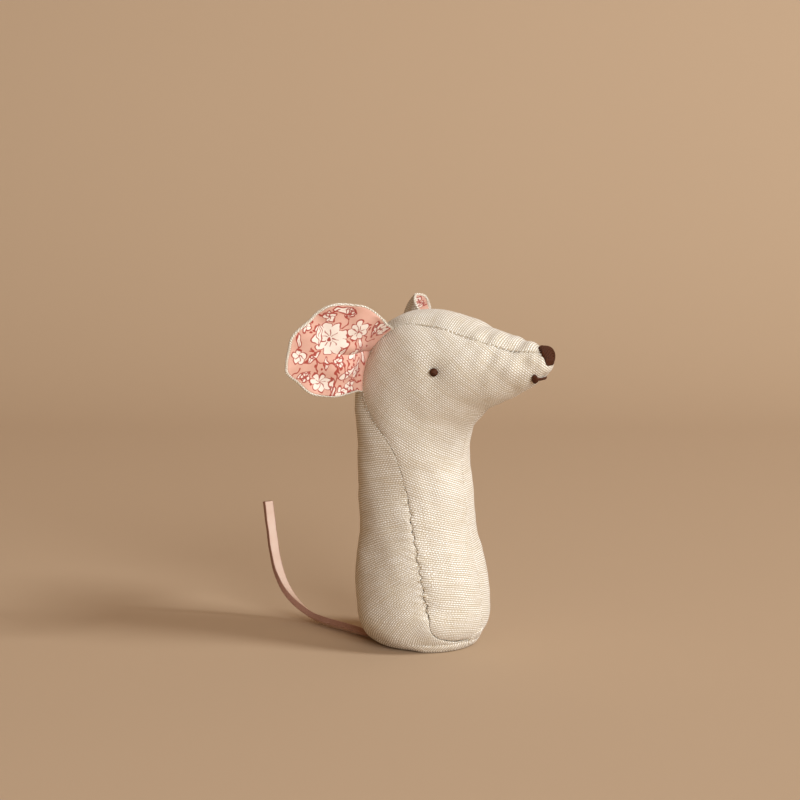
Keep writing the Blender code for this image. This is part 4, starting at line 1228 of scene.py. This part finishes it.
def fillingPiece(name, node, finish):
    # the filling's solid, remeshed and pressed into soft clumps just inside its own walls
    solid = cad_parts[node]
    piece = bpy.data.objects.new(name, solid.data.copy())
    bpy.context.scene.collection.objects.link(piece)
    remesh = piece.modifiers.new("remesh", "REMESH")
    remesh.mode = "VOXEL"
    remesh.voxel_size = 0.9 * mm
    remesh.use_smooth_shade = True
    soften = piece.modifiers.new("soften", "SMOOTH")
    soften.factor = 0.5
    soften.iterations = 4
    made = bpy.data.meshes.new_from_object(piece.evaluated_get(bpy.context.evaluated_depsgraph_get()))
    piece.modifiers.clear()
    piece.data = made
    points = np.empty(len(made.vertices) * 3, np.float32)
    made.vertices.foreach_get("co", points)
    points = points.reshape(-1, 3).astype(float)
    normals = np.empty(len(made.vertices) * 3, np.float32)
    made.vertex_normals.foreach_get("vector", normals)
    depth = 0.3 * mm + 0.25 * mm * (1 + softNoise(points, 7 * mm, 91)) / 2
    points = points - normals.reshape(-1, 3) * depth[:, None]
    made.vertices.foreach_set("co", points.astype(np.float32).ravel())
    made.update()
    made.shade_smooth()
    made.materials.clear()
    made.materials.append(finish)
    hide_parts(node)
    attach(piece, "body")


filling = fibreMaterial()
fillingPiece("bodyFilling", "body_stuffing", filling)
fillingPiece("headFilling", "head_stuffing", filling)


def rattleMaterial(name, roughness, metallic, patternSize, detail, hexDark, hexLight, strength, depth):
    made, tree, shader = newMaterial(name, roughness)
    shader.inputs["Metallic"].default_value = metallic
    place = addNode(tree, "TexCoord", output="Object")
    haze = addNode(tree, "TexNoise", {"Vector": place, "Scale": 1 / patternSize, "Detail": detail})
    colour = addNode(tree, "Mix", {0: haze, 6: linear(hexDark), 7: linear(hexLight)}, 2, data_type="RGBA")
    finishSurface(tree, shader, colour, haze, strength, depth)
    return made


# Moulded polypropylene capsule: milky, faint sink marks and sprue haze.
plastic = rattleMaterial("moulded polypropylene", 0.38, 0.0, 5.56 * mm, 4.0, "#dfe2df", "#f2f3ee", 0.15,
                         0.1 * mm)
# Tumbled steel shot: bright, finely scuffed.
steel = rattleMaterial("tumbled steel", 0.28, 1.0, 0.667 * mm, 5.0, "#8f9194", "#c3c5c7", 0.25, 0.03 * mm)
insides = {"rattle_cup": plastic, "rattle_cap": plastic} | {"rattle_bead_%d" % k: steel for k in range(1, 5)}
for nodeName, finish in insides.items():
    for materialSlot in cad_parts[nodeName].material_slots:
        materialSlot.material = finish
print("filling and rattle made")


# floor, light and camera

studio = {"backdrop": ("#b9a083", "#b0967a"), "turn": 30, "worldColour": "#ffc486", "worldPower": 0.2}


def backdrop():
    # a sheet of matt paper that curves up behind the toy
    along = np.linspace(-1, 1, 60)
    arc = np.linspace(0, math.pi / 2, 24)
    radius, depth = 0.5, 0.55
    forward = np.concatenate([np.linspace(-1.2, depth, 12)[:-1], depth + radius * np.sin(arc),
                              [depth + radius]])
    height = np.concatenate([np.zeros(11), radius * (1 - np.cos(arc)), [2.2]])
    turn = math.radians(studio["turn"])
    facing = np.array([-math.sin(turn), math.cos(turn), 0])
    sideways = np.array([math.cos(turn), math.sin(turn), 0])
    points = (along[None, :, None] * 1.8 * sideways + forward[:, None, None] * facing
              + height[:, None, None] * np.array([0, 0, 1.0]))
    points[..., 2] -= 0.00005
    made, tree, shader = newMaterial("matt card", 0.85)
    place = addNode(tree, "TexCoord", output="Object")
    cloud = addNode(tree, "TexNoise", {"Vector": place, "Scale": 6.0, "Detail": 3.0})
    tone = addNode(tree, "MapRange", (cloud, 0.3, 0.7, 0.0, 0.06))
    light, dark = (linear(shade) for shade in studio["backdrop"])
    colour = addNode(tree, "Mix", {0: tone, 6: light, 7: dark}, 2, data_type="RGBA")
    tree.links.new(colour, shader.inputs["Base Color"])
    sheet = meshPiece("backdrop", points, gridQuads(*points.shape[:2]), finish=made)


def areaLight(name, place, target, size, power, colour):
    lamp = bpy.data.lights.new(name, "AREA")
    lamp.shape = "DISK"
    lamp.size = size
    lamp.energy = power
    lamp.color = linear(colour)[:3]
    item = bpy.data.objects.new(name, lamp)
    bpy.context.scene.collection.objects.link(item)
    item.location = place
    item.rotation_euler = (Vector(target) - Vector(place)).to_track_quat("-Z", "Y").to_euler()


def cameraFrom(azimuth, elevation, distance, aimRight, aimUp):
    # stands off from the middle of the body and aims above and to the left of it
    a, e = math.radians(azimuth), math.radians(elevation)
    back = np.array([math.sin(a) * math.cos(e), -math.cos(a) * math.cos(e), math.sin(e)])
    right = np.array([math.cos(a), math.sin(a), 0])
    up = np.cross(back, right)
    middle = np.array([0, 0, 0.06])
    lens = bpy.data.cameras.new("camera")
    lens.lens = 85
    item = bpy.data.objects.new("camera", lens)
    bpy.context.scene.collection.objects.link(item)
    item.location = middle + back * distance
    aim = middle + right * aimRight + up * aimUp
    item.rotation_euler = (Vector(aim) - item.location).to_track_quat("-Z", "Y").to_euler()
    bpy.context.scene.camera = item


backdrop()
cameraFrom(studio["turn"], 9, 0.652, -8.3 * mm, 24.3 * mm)
areaLight("key", (2.24, 0.5, 1.93), (0, 0, 0.06), 0.8, 54.0, "#f8fbff")
areaLight("front", (2.1, -1.5, 0.95), (0, 0, 0.06), 1.6, 62.0, "#f8fbff")
areaLight("on the backdrop", (-0.1, 0.2, 1.5), (-0.45, 0.8, 0.5), 1.2, 2.2, "#fff6ea")
world = bpy.data.worlds.new("studio")
world.use_nodes = True
world.node_tree.nodes["Background"].inputs[0].default_value = linear(studio["worldColour"])
world.node_tree.nodes["Background"].inputs[1].default_value = studio["worldPower"]
bpy.context.scene.world = world
bpy.context.scene.view_settings.view_transform = "Standard"
print("studio ready")
